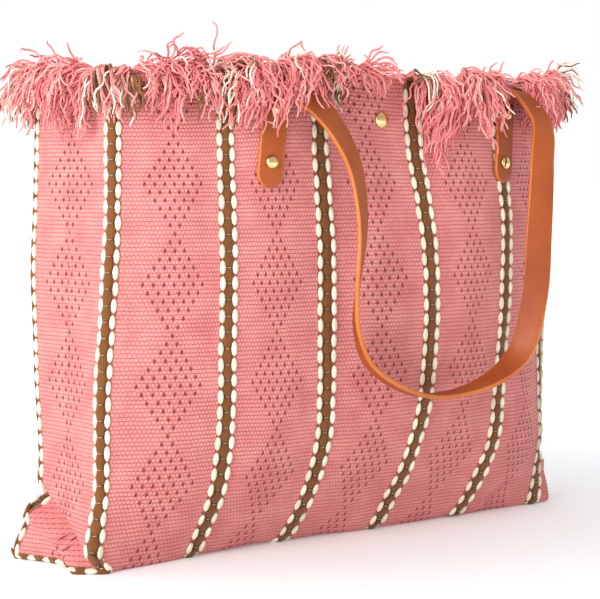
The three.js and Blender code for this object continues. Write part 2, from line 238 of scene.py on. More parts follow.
class Graph:
    """A material's node tree under construction."""

    def __init__(self, name: str) -> None:
        """Makes an empty Principled material of that name."""
        self.material = bpy.data.materials.new(name)
        self.material.use_nodes = True
        self.tree = self.material.node_tree
        self.shader = self.tree.nodes["Principled BSDF"]

    def node(self, kind: str, **settings: object) -> bpy.types.Node:
        """Adds a node, with its properties set."""
        node = self.tree.nodes.new(kind)
        for key, value in settings.items():
            setattr(node, key, value)
        return node

    def link(self, source: "Term | bpy.types.NodeSocket", target: bpy.types.NodeSocket) -> None:
        """Joins an output to an input."""
        self.tree.links.new(source.socket if isinstance(source, Term) else source, target)

    def cloth_place(self) -> tuple[Term, Term]:
        """Returns where a point lies on the flat cloth, across and along, in millimetres."""
        split = self.node("ShaderNodeSeparateXYZ")
        self.link(self.node("ShaderNodeUVMap", uv_map="cloth").outputs[0], split.inputs[0])
        across, along = (Term(self.tree, split.outputs[k]) / MM for k in (0, 1))
        return across, along

    def object_place(self, stretch: tuple[float, float, float] = (1.0, 1.0, 1.0)) -> bpy.types.NodeSocket:
        """Returns the point in the bag's own space, stretched along each axis."""
        mapping = self.node("ShaderNodeMapping")
        mapping.inputs["Scale"].default_value = stretch
        self.link(self.node("ShaderNodeTexCoord").outputs["Object"], mapping.inputs["Vector"])
        return mapping.outputs[0]

    def noise(self, scale: float, detail: float = 3.0, place: bpy.types.NodeSocket | None = None) -> Term:
        """Returns noise of about 0 to 1 with that many lumps a metre."""
        node = self.node("ShaderNodeTexNoise")
        node.inputs["Scale"].default_value = scale
        node.inputs["Detail"].default_value = detail
        self.link(place or self.object_place(), node.inputs["Vector"])
        return Term(self.tree, node.outputs["Fac"])

    def mixed(self, share: Term, first: object, second: object) -> bpy.types.NodeSocket:
        """Returns a blend of two colours or colour sockets."""
        node = self.node("ShaderNodeMix", data_type="RGBA")
        self.link(share, node.inputs[0])
        for slot, colour in ((node.inputs[6], first), (node.inputs[7], second)):
            if isinstance(colour, bpy.types.NodeSocket):
                self.link(colour, slot)
            else:
                slot.default_value = colour
        return node.outputs[2]

    def finish(self, colour: object, bump: Term | None = None, depth: float = 0.0, **plain: float) -> bpy.types.Material:
        """Sets the shader's inputs and returns the material.

        Args:
            colour: The base colour, or a socket that gives it.
            bump: Height of the surface detail, 0 to 1.
            depth: What a bump height of 1 stands for.
            plain: Numbers for other inputs of the shader, with _ for a space.

        Returns:
            The finished material.
        """
        if isinstance(colour, bpy.types.NodeSocket):
            self.link(colour, self.shader.inputs["Base Color"])
        else:
            self.shader.inputs["Base Color"].default_value = colour
        if bump is not None:
            node = self.node("ShaderNodeBump")
            node.inputs["Distance"].default_value = depth
            self.link(bump, node.inputs["Height"])
            self.link(node.outputs[0], self.shader.inputs["Normal"])
        names = {slot.name.lower().replace(" ", "_"): slot for slot in self.shader.inputs}
        for key, value in plain.items():
            names[key].default_value = value
        return self.material


@dataclass(frozen=True)
class StripeLayout:
    """Where the stripes and diamonds lie on the flat cloth, in millimetres."""
    first: float = -225.0
    pitch: float = 86.0
    count: int = 6
    brown: float = 4.1
    edge: float = 7.6
    stitch_pitch: float = 11.4
    row: float = 5.87
    rows: int = 12
    dimple_pitch: float = 6.9
    widest_height: float = 60.6
    base: float = 43.0

    def offset(self, across: Array) -> Array:
        """Returns how far across lies from the nearest stripe, with its sign."""
        share = (across - self.first) / self.pitch
        return (share - np.round(share)) * self.pitch


LAYOUT = StripeLayout()


@dataclass(frozen=True)
class WeaveFinish:
    """Ribbed pink cotton with columns of openwork diamonds and brown and cream warp stripes, with painted shade in
    the grooves between threads and in the eyelets.
    """
    layout: StripeLayout = LAYOUT
    rib: float = 2.94
    cell: float = 2.75
    pink: tuple = srgb(216, 124, 122)
    pale: tuple = srgb(234, 152, 146)
    # painted shade of the grooves between the ribs and cells
    painted_groove_shade: tuple = srgb(160, 72, 74)
    # painted shade inside the eyelets of the openwork diamonds
    painted_eyelet_shade: tuple = srgb(122, 40, 44)
    brown: tuple = srgb(96, 58, 28)
    cream: tuple = srgb(150, 92, 76)

    def material(self) -> bpy.types.Material:
        """Returns the finished material."""
        g = Graph("woven_cotton")
        lay = self.layout
        across, along = g.cloth_place()
        wander = g.noise(120.0, 2.0) - 0.5
        ribs = along / self.rib + wander * 0.35
        rib = (ribs.wrapped(1.0) * math.pi).math("SINE")
        shift = (ribs.math("FLOOR").wrapped(2.0)) * 0.5
        cells = across / self.cell + shift
        cell = (cells.wrapped(1.0) * math.pi).math("SINE")
        relief = (rib ** 0.4) * ((cell ** 0.5) * 0.7 + 0.3)
        dimple = self.dimples(g, across, along)
        height = relief * 0.5 + (dimple.inverse() * 0.5)
        lumps = g.noise(55.0, 4.0)
        fibres = g.noise(900.0, 2.0)
        thread = g.mixed((lumps * 0.6 + fibres * 0.4).between(0.3, 0.7), self.pink, self.pale)
        # painted shade: the thread colour darkens towards the groove shade where the rib and cell relief is low
        body = g.mixed(relief.between(0.8, 0.2) * 0.75, thread, self.painted_groove_shade)
        # painted shade: the eyelets darken towards the eyelet shade colour
        eyelet_shaded = g.mixed(dimple * 0.85, body, self.painted_eyelet_shade)
        share = ((across - lay.first) / lay.pitch) + 0.5
        from_stripe = ((share.wrapped(1.0) - 0.5) * lay.pitch).math("ABSOLUTE")
        banded = g.mixed(from_stripe.between(lay.edge + 0.2, lay.edge - 0.6), eyelet_shaded, self.cream)
        striped = g.mixed(from_stripe.between(lay.brown, lay.brown - 0.7), banded, self.brown)
        return g.finish(striped, height, 1.3 * MM, roughness=0.95, specular_ior_level=0.15,
                        sheen_weight=0.12, sheen_roughness=0.6)

    def dimples(self, g: Graph, across: Term, along: Term) -> Term:
        """Returns 1 in the eyelets of the diamonds and 0 around them."""
        lay = self.layout
        share = ((across - lay.first) / lay.pitch).wrapped(1.0) - 0.5
        sideways = share * lay.pitch
        rows = (along - (lay.base + lay.widest_height)) / lay.row
        row = rows.math("ROUND")
        upright = (rows - row) * lay.row
        reach = (row.wrapped(float(lay.rows)) - lay.rows / 2).math("ABSOLUTE")
        stagger = reach.wrapped(2.0) * 0.5
        columns = sideways / lay.dimple_pitch - stagger
        column = columns.math("ROUND")
        beside = (columns - column) * lay.dimple_pitch
        centre = (column + stagger).math("ABSOLUTE")
        inside = (centre * 2.0 - reach).math("LESS_THAN", 0.1)
        round_ = ((beside / 1.05) ** 2.0) + ((upright / 1.85) ** 2.0)
        return round_.between(1.5, 0.1) * inside


@dataclass(frozen=True)
class YarnFinish:
    """Soft twisted cotton yarn whose colour comes with each strand, with painted shade in the low spots of its ply.
    """
    name: str = "fringe_yarn"
    ply: tuple = (1.0, 1.0, 1.0)
    ply_scale: float = 700.0

    def material(self) -> bpy.types.Material:
        """Returns the finished material."""
        g = Graph(self.name)
        colour = g.node("ShaderNodeAttribute", attribute_name="tint").outputs["Color"]
        ply = g.noise(self.ply_scale, 2.0, g.object_place(self.ply))
        # painted shade: the strand's colour is multiplied darker where the ply bump is low
        ply_shade = g.node("ShaderNodeMix", data_type="RGBA", blend_type="MULTIPLY")
        ply_shade.inputs[0].default_value = 1.0
        g.link(colour, ply_shade.inputs[6])
        tone = g.mixed(ply.between(0.3, 0.62), (0.86, 0.8, 0.78, 1.0), (1.0, 1.0, 1.0, 1.0))
        g.link(tone, ply_shade.inputs[7])
        return g.finish(ply_shade.outputs[2], ply, 0.5 * MM, roughness=0.95, specular_ior_level=0.1,
                        sheen_weight=0.15, sheen_roughness=0.6)


@dataclass(frozen=True)
class LiningFinish:
    """Plain undyed cotton lining, with painted shade between its threads."""
    thread: float = 0.9
    cream: tuple = srgb(236, 224, 202)
    # painted shade of the gaps between the threads
    shade: tuple = srgb(206, 190, 166)

    def material(self) -> bpy.types.Material:
        """Returns the finished material."""
        g = Graph("plain_lining")
        across, along = g.cloth_place()
        warp = ((across / self.thread).wrapped(1.0) * math.pi).math("SINE")
        weft = ((along / self.thread).wrapped(1.0) * math.pi).math("SINE")
        weave = warp * weft
        cloud = g.noise(30.0, 3.0)
        # painted shade: the tone darkens towards the shade colour where the weave relief is low, between the threads,
        # mixed half and half with a random cloud of tone
        tone = g.mixed((weave * 0.5 + cloud * 0.5).between(0.15, 0.75), self.shade, self.cream)
        return g.finish(tone, weave, 0.2 * MM, roughness=0.95, specular_ior_level=0.15)


@dataclass(frozen=True)
class LeatherFinish:
    """Tan leather with a fine grain, deeper in tone where it is handled."""
    name: str = "tan_leather"
    tan: tuple = srgb(170, 82, 30)
    deep: tuple = srgb(146, 64, 22)
    grain: float = 1500.0
    roughness: float = 0.5

    def material(self) -> bpy.types.Material:
        """Returns the finished material."""
        g = Graph(self.name)
        patches = g.noise(22.0, 4.0)
        pores = g.noise(self.grain, 3.0)
        tone = g.mixed((patches * 0.8 + pores * 0.2).between(0.35, 0.7), self.tan, self.deep)
        return g.finish(tone, pores, 0.12 * MM, roughness=self.roughness, specular_ior_level=0.35,
                        coat_weight=0.06, coat_roughness=0.3)


@dataclass(frozen=True)
class MetalFinish:
    """Polished or brushed metal with faint wear."""
    name: str
    bright: tuple
    worn: tuple
    roughness: float

    def material(self) -> bpy.types.Material:
        """Returns the finished material."""
        g = Graph(self.name)
        wear = g.noise(420.0, 4.0)
        tone = g.mixed(wear.between(0.4, 0.75), self.bright, self.worn)
        return g.finish(tone, wear, 0.03 * MM, metallic=1.0, roughness=self.roughness)


class Finishes:
    """Every material of the bag, made once."""

    def __init__(self) -> None:
        """Makes the materials."""
        self.weave = WeaveFinish().material()
        self.yarn = YarnFinish().material()
        self.stripe_yarn = YarnFinish("stripe_yarn", (1.0, 1.0, 0.12), 900.0).material()
        self.lining = LiningFinish().material()
        self.leather = LeatherFinish().material()
        self.edge_paint = LeatherFinish("painted_edge", srgb(208, 118, 52), srgb(186, 96, 40), 700.0,
                                        0.35).material()
        self.thread = LeatherFinish("tan_thread", srgb(196, 112, 56), srgb(160, 84, 38), 900.0, 0.8).material()
        self.gold = MetalFinish("polished_gold", srgb(236, 208, 150), srgb(206, 172, 112), 0.16).material()
        self.steel = MetalFinish("magnet_steel", srgb(170, 170, 174), srgb(132, 132, 136), 0.34).material()


# ---------------------------------------------------------------------------------------------
# Geometry node trees
# ---------------------------------------------------------------------------------------------
class Strewing(Enum):
    """What a tree sets at each point."""
    BEAD = "rounded bead"
    PART = "given part"


class NodeTree:
    """A Geometry Nodes tree under construction, and its use on a piece."""

    def __init__(self, name: str, inputs: dict[str, tuple[str, object]]) -> None:
        """Makes the tree with a geometry input, the named inputs and a geometry output.

        Args:
            name: The tree's name.
            inputs: Socket type and starting value of each named input.
        """
        self.tree = bpy.data.node_groups.new(name, "GeometryNodeTree")
        face = self.tree.interface
        face.new_socket("Geometry", in_out="INPUT", socket_type="NodeSocketGeometry")
        self.keys: dict[str, str] = {}
        for label, (kind, value) in inputs.items():
            socket = face.new_socket(label, in_out="INPUT", socket_type=kind)
            if value is not None:
                socket.default_value = value
            self.keys[label] = socket.identifier
        face.new_socket("Geometry", in_out="OUTPUT", socket_type="NodeSocketGeometry")
        self.enter = self.tree.nodes.new("NodeGroupInput")
        self.leave = self.tree.nodes.new("NodeGroupOutput")

    def node(self, kind: str, links: dict[str, object] | None = None, **settings: object) -> bpy.types.Node:
        """Adds a node with its properties, and its inputs as links or values."""
        node = self.tree.nodes.new(kind)
        for key, value in settings.items():
            setattr(node, key, value)
        for label, source in (links or {}).items():
            slot = next(s for s in node.inputs if s.name == label and s.enabled)
            if isinstance(source, bpy.types.NodeSocket):
                self.tree.links.new(source, slot)
            else:
                slot.default_value = source
        return node

    def named(self, label: str) -> bpy.types.NodeSocket:
        """Returns one of the tree's own inputs."""
        return self.enter.outputs[label]

    def attribute(self, name: str, kind: str) -> bpy.types.NodeSocket:
        """Returns a stored value of the points."""
        node = self.node("GeometryNodeInputNamedAttribute", {"Name": name}, data_type=kind)
        return next(s for s in node.outputs if s.name == "Attribute" and s.enabled)

    def end(self, geometry: bpy.types.NodeSocket, realize: bool) -> None:
        """Closes the tree with its material, after making instances real where there are any."""
        if realize:
            geometry = self.node("GeometryNodeRealizeInstances", {"Geometry": geometry}).outputs[0]
        painted = self.node("GeometryNodeSetMaterial", {"Geometry": geometry, "Material": self.named("Finish")})
        self.tree.links.new(painted.outputs[0], self.leave.inputs[0])

    def grown(self, piece: bpy.types.Object, name: str, values: dict[str, object]) -> bpy.types.Object:
        """Runs the tree on a piece and returns the result as a plain mesh piece.

        Args:
            piece: The points or lines that the tree works on, which are used up.
            name: The new piece's name.
            values: A value for each named input that isn't left as it is.

        Returns:
            The finished piece.
        """
        modifier = piece.modifiers.new("grow", "NODES")
        modifier.node_group = self.tree
        for label, value in values.items():
            modifier[self.keys[label]] = value
        graph = bpy.context.evaluated_depsgraph_get()
        mesh = bpy.data.meshes.new_from_object(piece.evaluated_get(graph), depsgraph=graph)
        bpy.data.objects.remove(piece)
        mesh.name = name
        made = bpy.data.objects.new(name, mesh)
        bpy.context.scene.collection.objects.link(made)
        return finish_mesh(made, None)


def strewing_tree(choice: Strewing) -> NodeTree:
    """Returns a tree that sets a bead or a given part at each point, turned to the point's own directions.

    Args:
        choice: What stands at each point.

    Returns:
        The tree, whose points carry "outward", "along" and, for beads, "stretch".
    """
    inputs: dict[str, tuple[str, object]] = {"Finish": ("NodeSocketMaterial", None)}
    if choice is Strewing.BEAD:
        inputs |= {"Sides": ("NodeSocketInt", 8), "Rings": ("NodeSocketInt", 6)}
    else:
        inputs["Part"] = ("NodeSocketObject", None)
    tree = NodeTree(f"strew_{choice.name.lower()}", inputs)
    turn = tree.node("FunctionNodeAxesToRotation", {
        "Primary Axis": tree.attribute("outward", "FLOAT_VECTOR"),
        "Secondary Axis": tree.attribute("along", "FLOAT_VECTOR")}, primary_axis="Z", secondary_axis="Y")
    if choice is Strewing.BEAD:
        source = tree.node("GeometryNodeMeshUVSphere", {
            "Segments": tree.named("Sides"), "Rings": tree.named("Rings"), "Radius": 0.5}).outputs[0]
        scale: object = tree.attribute("stretch", "FLOAT_VECTOR")
    else:
        source = tree.node("GeometryNodeObjectInfo", {"Object": tree.named("Part")}).outputs["Geometry"]
        scale = (1.0, 1.0, 1.0)
    strewn = tree.node("GeometryNodeInstanceOnPoints", {
        "Points": tree.named("Geometry"), "Instance": source, "Rotation": turn.outputs[0], "Scale": scale})
    tree.end(strewn.outputs[0], realize=True)
    return tree


def strand_tree() -> NodeTree:
    """Returns a tree that turns loose lines into thin round yarns of the lines' own thickness."""
    tree = NodeTree("spin_yarn", {"Finish": ("NodeSocketMaterial", None), "Sides": ("NodeSocketInt", 4)})
    line = tree.node("GeometryNodeMeshToCurve", {"Mesh": tree.named("Geometry")})
    ring = tree.node("GeometryNodeCurvePrimitiveCircle", {"Resolution": tree.named("Sides"), "Radius": 1.0})
    tube = tree.node("GeometryNodeCurveToMesh", {
        "Curve": line.outputs[0], "Profile Curve": ring.outputs[0], "Fill Caps": True,
        "Scale": tree.attribute("thickness", "FLOAT")})
    tree.end(tube.outputs[0], realize=True)
    return tree


class Trees:
    """The bag's Geometry Nodes trees, made once."""

    def __init__(self) -> None:
        """Makes the trees."""
        self.beads = strewing_tree(Strewing.BEAD)
        self.parts = strewing_tree(Strewing.PART)
        self.yarn = strand_tree()


# ---------------------------------------------------------------------------------------------
# The bag's shape
# ---------------------------------------------------------------------------------------------
@dataclass(frozen=True)
class Bulge:
    """A soft rise or dent of a face: where it is, how wide and high, and how far out."""
    x: float
    z: float
    wide: float
    high: float
    out: float

    def at(self, x: Array, z: Array) -> Array:
        """Returns how far the bulge pushes the cloth out there."""
        return self.out * hump((x - self.x) / self.wide) * hump((z - self.z) / self.high)


@dataclass(frozen=True)
class BagForm:
    """The filled bag's outer surface, as one half described from its front."""
    half_width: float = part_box("woven_front")[1].x
    height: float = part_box("woven_front")[1].z
    half_depth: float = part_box("woven_left_side")[1].y + 4 * MM
    narrowing: float = 13 * MM
    narrowing_height: float = 110 * MM
    tuck: float = 12 * MM
    full: float = 60 * MM
    full_height: float = 190 * MM
    roll: float = 2.6
    top: float = 8 * MM
    top_start: float = 210 * MM
    top_span: float = 140 * MM
    plan: float = 3.4
    skew: float = 0.2
    dip: float = 12 * MM
    dip_width: float = 55 * MM
    dip_start: float = 200 * MM
    dip_span: float = 110 * MM
    bulges: tuple[Bulge, ...] = (
        Bulge(0.165, 0.050, 0.070, 0.040, 10 * MM),
        Bulge(0.205, 0.138, 0.030, 0.030, -5 * MM),
        Bulge(0.060, 0.215, 0.060, 0.060, 3 * MM),
        Bulge(0.070, 0.000, 0.080, 0.028, 8 * MM),
    )

    def width_at(self, z: Array) -> Array:
        """Returns half the bag's width at a height."""
        return self.half_width - self.narrowing * (1 - np.exp(-z / self.narrowing_height))

    def puff_at(self, z: Array) -> Array:
        """Returns how far the middle of a face stands out beyond its edges at a height."""
        low = (self.full + self.tuck) * (1 - np.power(np.clip(1 - z / self.full_height, 0, 1), self.roll)) - self.tuck
        high = self.full - self.top * smooth((z - self.top_start) / self.top_span)
        return np.where(z < self.full_height, low, high)

    def depth_at(self, x: Array, z: Array) -> Array:
        """Returns how far the front cloth lies from the bag's middle plane."""
        across = x / self.width_at(z)
        plan = (1 - np.power(np.minimum(1.0, np.abs(across)), self.plan)) * (1 + self.skew * across)
        dip = self.dip * hump(x / self.dip_width) * smooth((z - self.dip_start) / self.dip_span)
        soft = sum(bulge.at(x, z) for bulge in self.bulges)
        towards_edge = 1 - np.minimum(1.0, np.abs(across)) ** 12
        return self.half_depth + (self.puff_at(z) - dip) * plan + soft * towards_edge

    def slide(self, across: Array, z: Array) -> Array:
        """Returns how far the cloth's threads lie to the right of even spacing, in metres."""
        left = -14 * MM * hump((across + 0.080) / 0.085) * smooth((z - 0.04) / 0.12)
        middle = 5 * MM * hump((across - 0.035) / 0.05) * hump((z - 0.13) / 0.09)
        right = 5 * MM * hump((across - 0.14) / 0.05) * hump((z - 0.24) / 0.06)
        low = 5 * MM * hump((across - 0.12) / 0.05) * hump((z - 0.07) / 0.05)
        return left + middle + right + low

    def wall(self, across: Array, z: Array) -> Array:
        """Returns the place of a thread of the front half on the wall.

        Args:
            across: Place across the cloth, where the corner edges are at plus and minus half_width.
            z: Height.

        Returns:
            Points; beyond the corner edges they run back along the sides to the side seams.
        """
        edge = self.half_width
        x = across * self.width_at(z) / edge
        inner = np.clip(1 - (np.abs(across) / edge) ** 6, 0, 1)
        x = x + self.slide(across, z) * inner
        front = np.stack([x, -self.depth_at(x, z), z], -1)
        beyond = np.abs(across) - edge
        side = np.stack([np.sign(across) * self.width_at(z), -self.half_depth + beyond, z], -1)
        return np.where((beyond > 0)[..., None], side, front)


@dataclass
class ClothHalf:
    """One face of the bag with half of each side and half of the base, as a grid of threads."""
    form: BagForm
    face: str
    cell: float = 2.5 * MM
    rounding: int = 7
    across: Array = field(init=False)
    along: Array = field(init=False)
    ids: Array = field(init=False)
    points: Array = field(init=False)
    normals: Array = field(init=False)
    faces: list = field(init=False)

    @property
    def hand(self) -> float:
        """1 where the cloth's own left is the half's left, as on the front, and -1 on the back."""
        return 1.0 if self.face == "front" else -1.0

    def __post_init__(self) -> None:
        """Lays the cloth out and shapes it."""
        edge, base = self.form.half_width, self.form.half_depth
        end = edge + base
        flap = round(base / self.cell) + 1
        middle = round(2 * edge / self.cell) + 1
        self.across = np.concatenate([
            np.linspace(-end, -edge, flap), np.linspace(-edge, edge, middle)[1:], np.linspace(edge, end, flap)[1:]])
        rows = round(self.form.height / self.cell) + 1
        self.along = np.concatenate([
            np.linspace(0, base, flap), np.linspace(base, base + self.form.height, rows)[1:]])
        self.number(flap)
        self.shape()

    def number(self, flap: int) -> None:
        """Numbers the corners, so that the base's ends and the sides' lower edges share theirs."""
        columns, rows = len(self.across), len(self.along)
        self.ids = np.full((columns, rows), -1)
        last, first = flap - 1, 0
        wall = np.arange(columns * (rows - last)).reshape(columns, rows - last)
        self.ids[:, last:] = wall
        first = wall.size
        right = columns - flap
        inside = np.arange((right - last - 1) * last).reshape(right - last - 1, last)
        self.ids[last + 1:right, :last] = inside + first
        for k in range(last):
            self.ids[last, k] = self.ids[k, last]
            self.ids[right, k] = self.ids[columns - 1 - k, last]
        self.base_rows, self.left, self.right = last, last, right

    def shape(self) -> None:
        """Finds each corner's place, rounds the edges over and adds the folds."""
        form = self.form
        across, along = np.meshgrid(self.across, self.along, indexing="ij")
        z = along - form.half_depth
        grid = form.wall(across, np.maximum(z, 0.0))
        share = np.clip(along / form.half_depth, 0, 1)
        on_base = z < 0
        grid[..., 1] = np.where(on_base, grid[..., 1] * share, grid[..., 1])
        grid[..., 2] = np.maximum(z, 0.0)
        valid = self.ids >= 0
        count = self.ids.max() + 1
        points = np.zeros((count, 3))
        points[self.ids[valid]] = grid[valid]
        across_of, along_of = np.zeros(count), np.zeros(count)
        across_of[self.ids[valid]] = across[valid]
        along_of[self.ids[valid]] = along[valid]
        self.faces = grid_faces(self.ids, lambda i, j: j >= self.base_rows or self.left <= i < self.right)
        points = self.rounded(points)
        if self.face == "back":
            points = half_turn(points)
        normals = self.normals_of(points)
        points = points + normals * self.folds(points, across_of, along_of)[:, None]
        points = self.settled(points)
        points[:, 2] = np.maximum(points[:, 2], 0.2 * MM)
        self.points, self.normals = points, self.normals_of(points)
        self.across_of, self.along_of = across_of, along_of

    def rounded(self, points: Array) -> Array:
        """Returns the points with the boxed corners and edges rounded over, as stuffed cloth has them."""
        quads = np.array(self.faces)
        pairs = np.concatenate([quads[:, [0, 1]], quads[:, [1, 2]], quads[:, [2, 3]], quads[:, [3, 0]]])
        pairs = np.concatenate([pairs, pairs[:, ::-1]])
        count = len(points)
        degree = np.bincount(pairs[:, 0], minlength=count)[:, None]
        seam = np.abs(points[:, 1]) < 1e-9
        rim = points[:, 2] > self.form.height - 1e-6
        for _ in range(self.rounding):
            mean = np.zeros_like(points)
            for axis in range(3):
                mean[:, axis] = np.bincount(pairs[:, 0], points[pairs[:, 1], axis], minlength=count)
            moved = points + 0.5 * (mean / degree - points)
            moved[seam, 1] = 0.0
            moved[rim, 2] = points[rim, 2]
            points = moved
        return points

    def normals_of(self, points: Array) -> Array:
        """Returns the outward direction of the cloth at each corner."""
        quads = np.array(self.faces)
        first, second = points[quads[:, 2]] - points[quads[:, 0]], points[quads[:, 3]] - points[quads[:, 1]]
        normal = np.cross(first, second)
        total = np.zeros_like(points)
        for corner in range(4):
            for axis in range(3):
                total[:, axis] += np.bincount(quads[:, corner], normal[:, axis], minlength=len(points))
        return unit(total)

    def folds(self, points: Array, across: Array, along: Array) -> Array:
        """Returns how far the soft folds push each corner out."""
        z = points[:, 2]
        share = (across - LAYOUT.first * MM) / (LAYOUT.pitch * MM)
        flute = np.cos(2 * math.pi * share) * smooth((z - 0.02) / 0.08)
        ripple = np.sin(across * 61 + 3.1 * np.sin(z * 17)) * np.sin(z * 33 + 1.3 + 2 * np.sin(across * 23))
        slow = np.sin(across * 27 + z * 11 + 0.6) * np.sin(z * 19 - across * 9)
        wave = 0.5 * MM * np.sin(z * 118 + 2.2 * np.sin(across * 31)) * hump((z - 0.03) / 0.05)
        inside = -9 * MM * hump((across + 0.027) / 0.011) * smooth((z - 0.29) / 0.05)
        on_face = np.abs(across) < self.form.half_width
        return -1.1 * MM * flute + 0.8 * MM * ripple + 1.1 * MM * slow + wave + np.where(on_face, inside, 0.0)

    def settled(self, points: Array) -> Array:
        """Returns the points with the top line's rise and the pulled-out base corners."""
        x, y, z = points.T
        front_x = x if self.face == "front" else -x
        top = (-4 + 7 * hump((front_x + 0.075) / 0.05)) * MM * smooth((z - 0.24) / 0.1)
        moved = points + np.stack([0 * x, 0 * x, top], -1)
        for mirror in (1.0, -1.0):
            # the far lower corner of the side panel is dragged out and forward, with a slanting crease
            ear_x, ear_y = -self.form.half_width * mirror, self.form.half_depth * mirror
            low = smooth((0.050 - z) / 0.045)
            near = hump((x - ear_x) / 0.035) * hump((y - ear_y) / 0.028) * low
            strength = 1.0 if mirror > 0 else 0.4
            moved[:, 0] += -15 * MM * mirror * strength * near
            moved[:, 1] += 4 * MM * mirror * strength * near
            slant = y * mirror - (1.95 * z - 0.035)
            on_side = smooth((-mirror * x - 0.195) / 0.015) * smooth((0.075 - z) / 0.04)
            crease = 11 * MM * hump((slant + 0.012) / 0.011) - 6 * MM * hump((slant - 0.008) / 0.009)
            moved[:, 0] += mirror * strength * on_side * crease
            side = smooth((-mirror * x - 0.185) / 0.02)
            moved[:, 0] += -mirror * side * 10 * MM * hump((z - 0.225) / 0.12) * smooth((mirror * y + 0.02) / 0.05)
            near_edge = smooth((-mirror * x - 0.15) / 0.06) * smooth((0.02 - mirror * y) / 0.06) * strength
            moved[:, 0] += -mirror * near_edge * MM * (7 * hump((z - 0.12) / 0.08) + 6 * smooth((0.07 - z) / 0.07))
        return moved

    def sample(self, across: Array, along: Array, lift: float = 0.0) -> tuple[Array, Array, Array]:
        """Reads the finished surface at places on the cloth.

        Args:
            across: Places across the cloth.
            along: Places along it, from the middle of the base up to the rim.
            lift: How far out of the surface the points are wanted.

        Returns:
            Points, outward directions and directions along the threads.
        """
        def spread(values: Array) -> Array:
            """Returns values of corners as a grid, with the cut-out corners given the first corner's value."""
            grid = values[np.maximum(self.ids, 0)]
            return grid

        i = np.clip(np.searchsorted(self.across, across) - 1, 0, len(self.across) - 2)
        j = np.clip(np.searchsorted(self.along, along) - 1, 0, len(self.along) - 2)
        s = ((across - self.across[i]) / (self.across[i + 1] - self.across[i]))[:, None]
        t = ((along - self.along[j]) / (self.along[j + 1] - self.along[j]))[:, None]

        def read(grid: Array) -> Array:
            """Returns the grid's value between its nodes."""
            low = grid[i, j] * (1 - s) + grid[i + 1, j] * s
            high = grid[i, j + 1] * (1 - s) + grid[i + 1, j + 1] * s
            return low * (1 - t) + high * t

        points_grid, normals_grid = spread(self.points), spread(self.normals)
        outward = unit(read(normals_grid))
        rise = points_grid[i, j + 1] - points_grid[i, j]
        return read(points_grid) + outward * lift, outward, unit(rise)


@dataclass(frozen=True)
class MouthMotion:
    """How the cloth gives when the mouth is drawn shut: full at the snap, none at the handles."""
    still: float = 0.096
    flat: float = 0.014
    low: float = 0.12
    span: float = 0.18

    def share(self, points: Array) -> Array:
        """Returns each point's share of the mouth's travel."""
        sideways = smooth((self.still - np.abs(points[:, 0])) / (self.still - self.flat))
        return sideways * smooth((points[:, 2] - self.low) / self.span)

    def bend(self, piece: bpy.types.Object, face: str) -> None:
        """Makes the piece follow the mouth of its face by those shares."""
        if "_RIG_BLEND" in piece.data.attributes:
            piece.data.attributes.remove(piece.data.attributes["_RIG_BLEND"])
        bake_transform(piece, ROOT, f"{face}_mouth", start=(0, 0, self.low), end=(0, 0, self.low + self.span))
        shares = self.share(corners(piece)).astype(np.float32)
        piece.data.attributes["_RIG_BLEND"].data.foreach_set("value", shares)


MOUTH = MouthMotion()


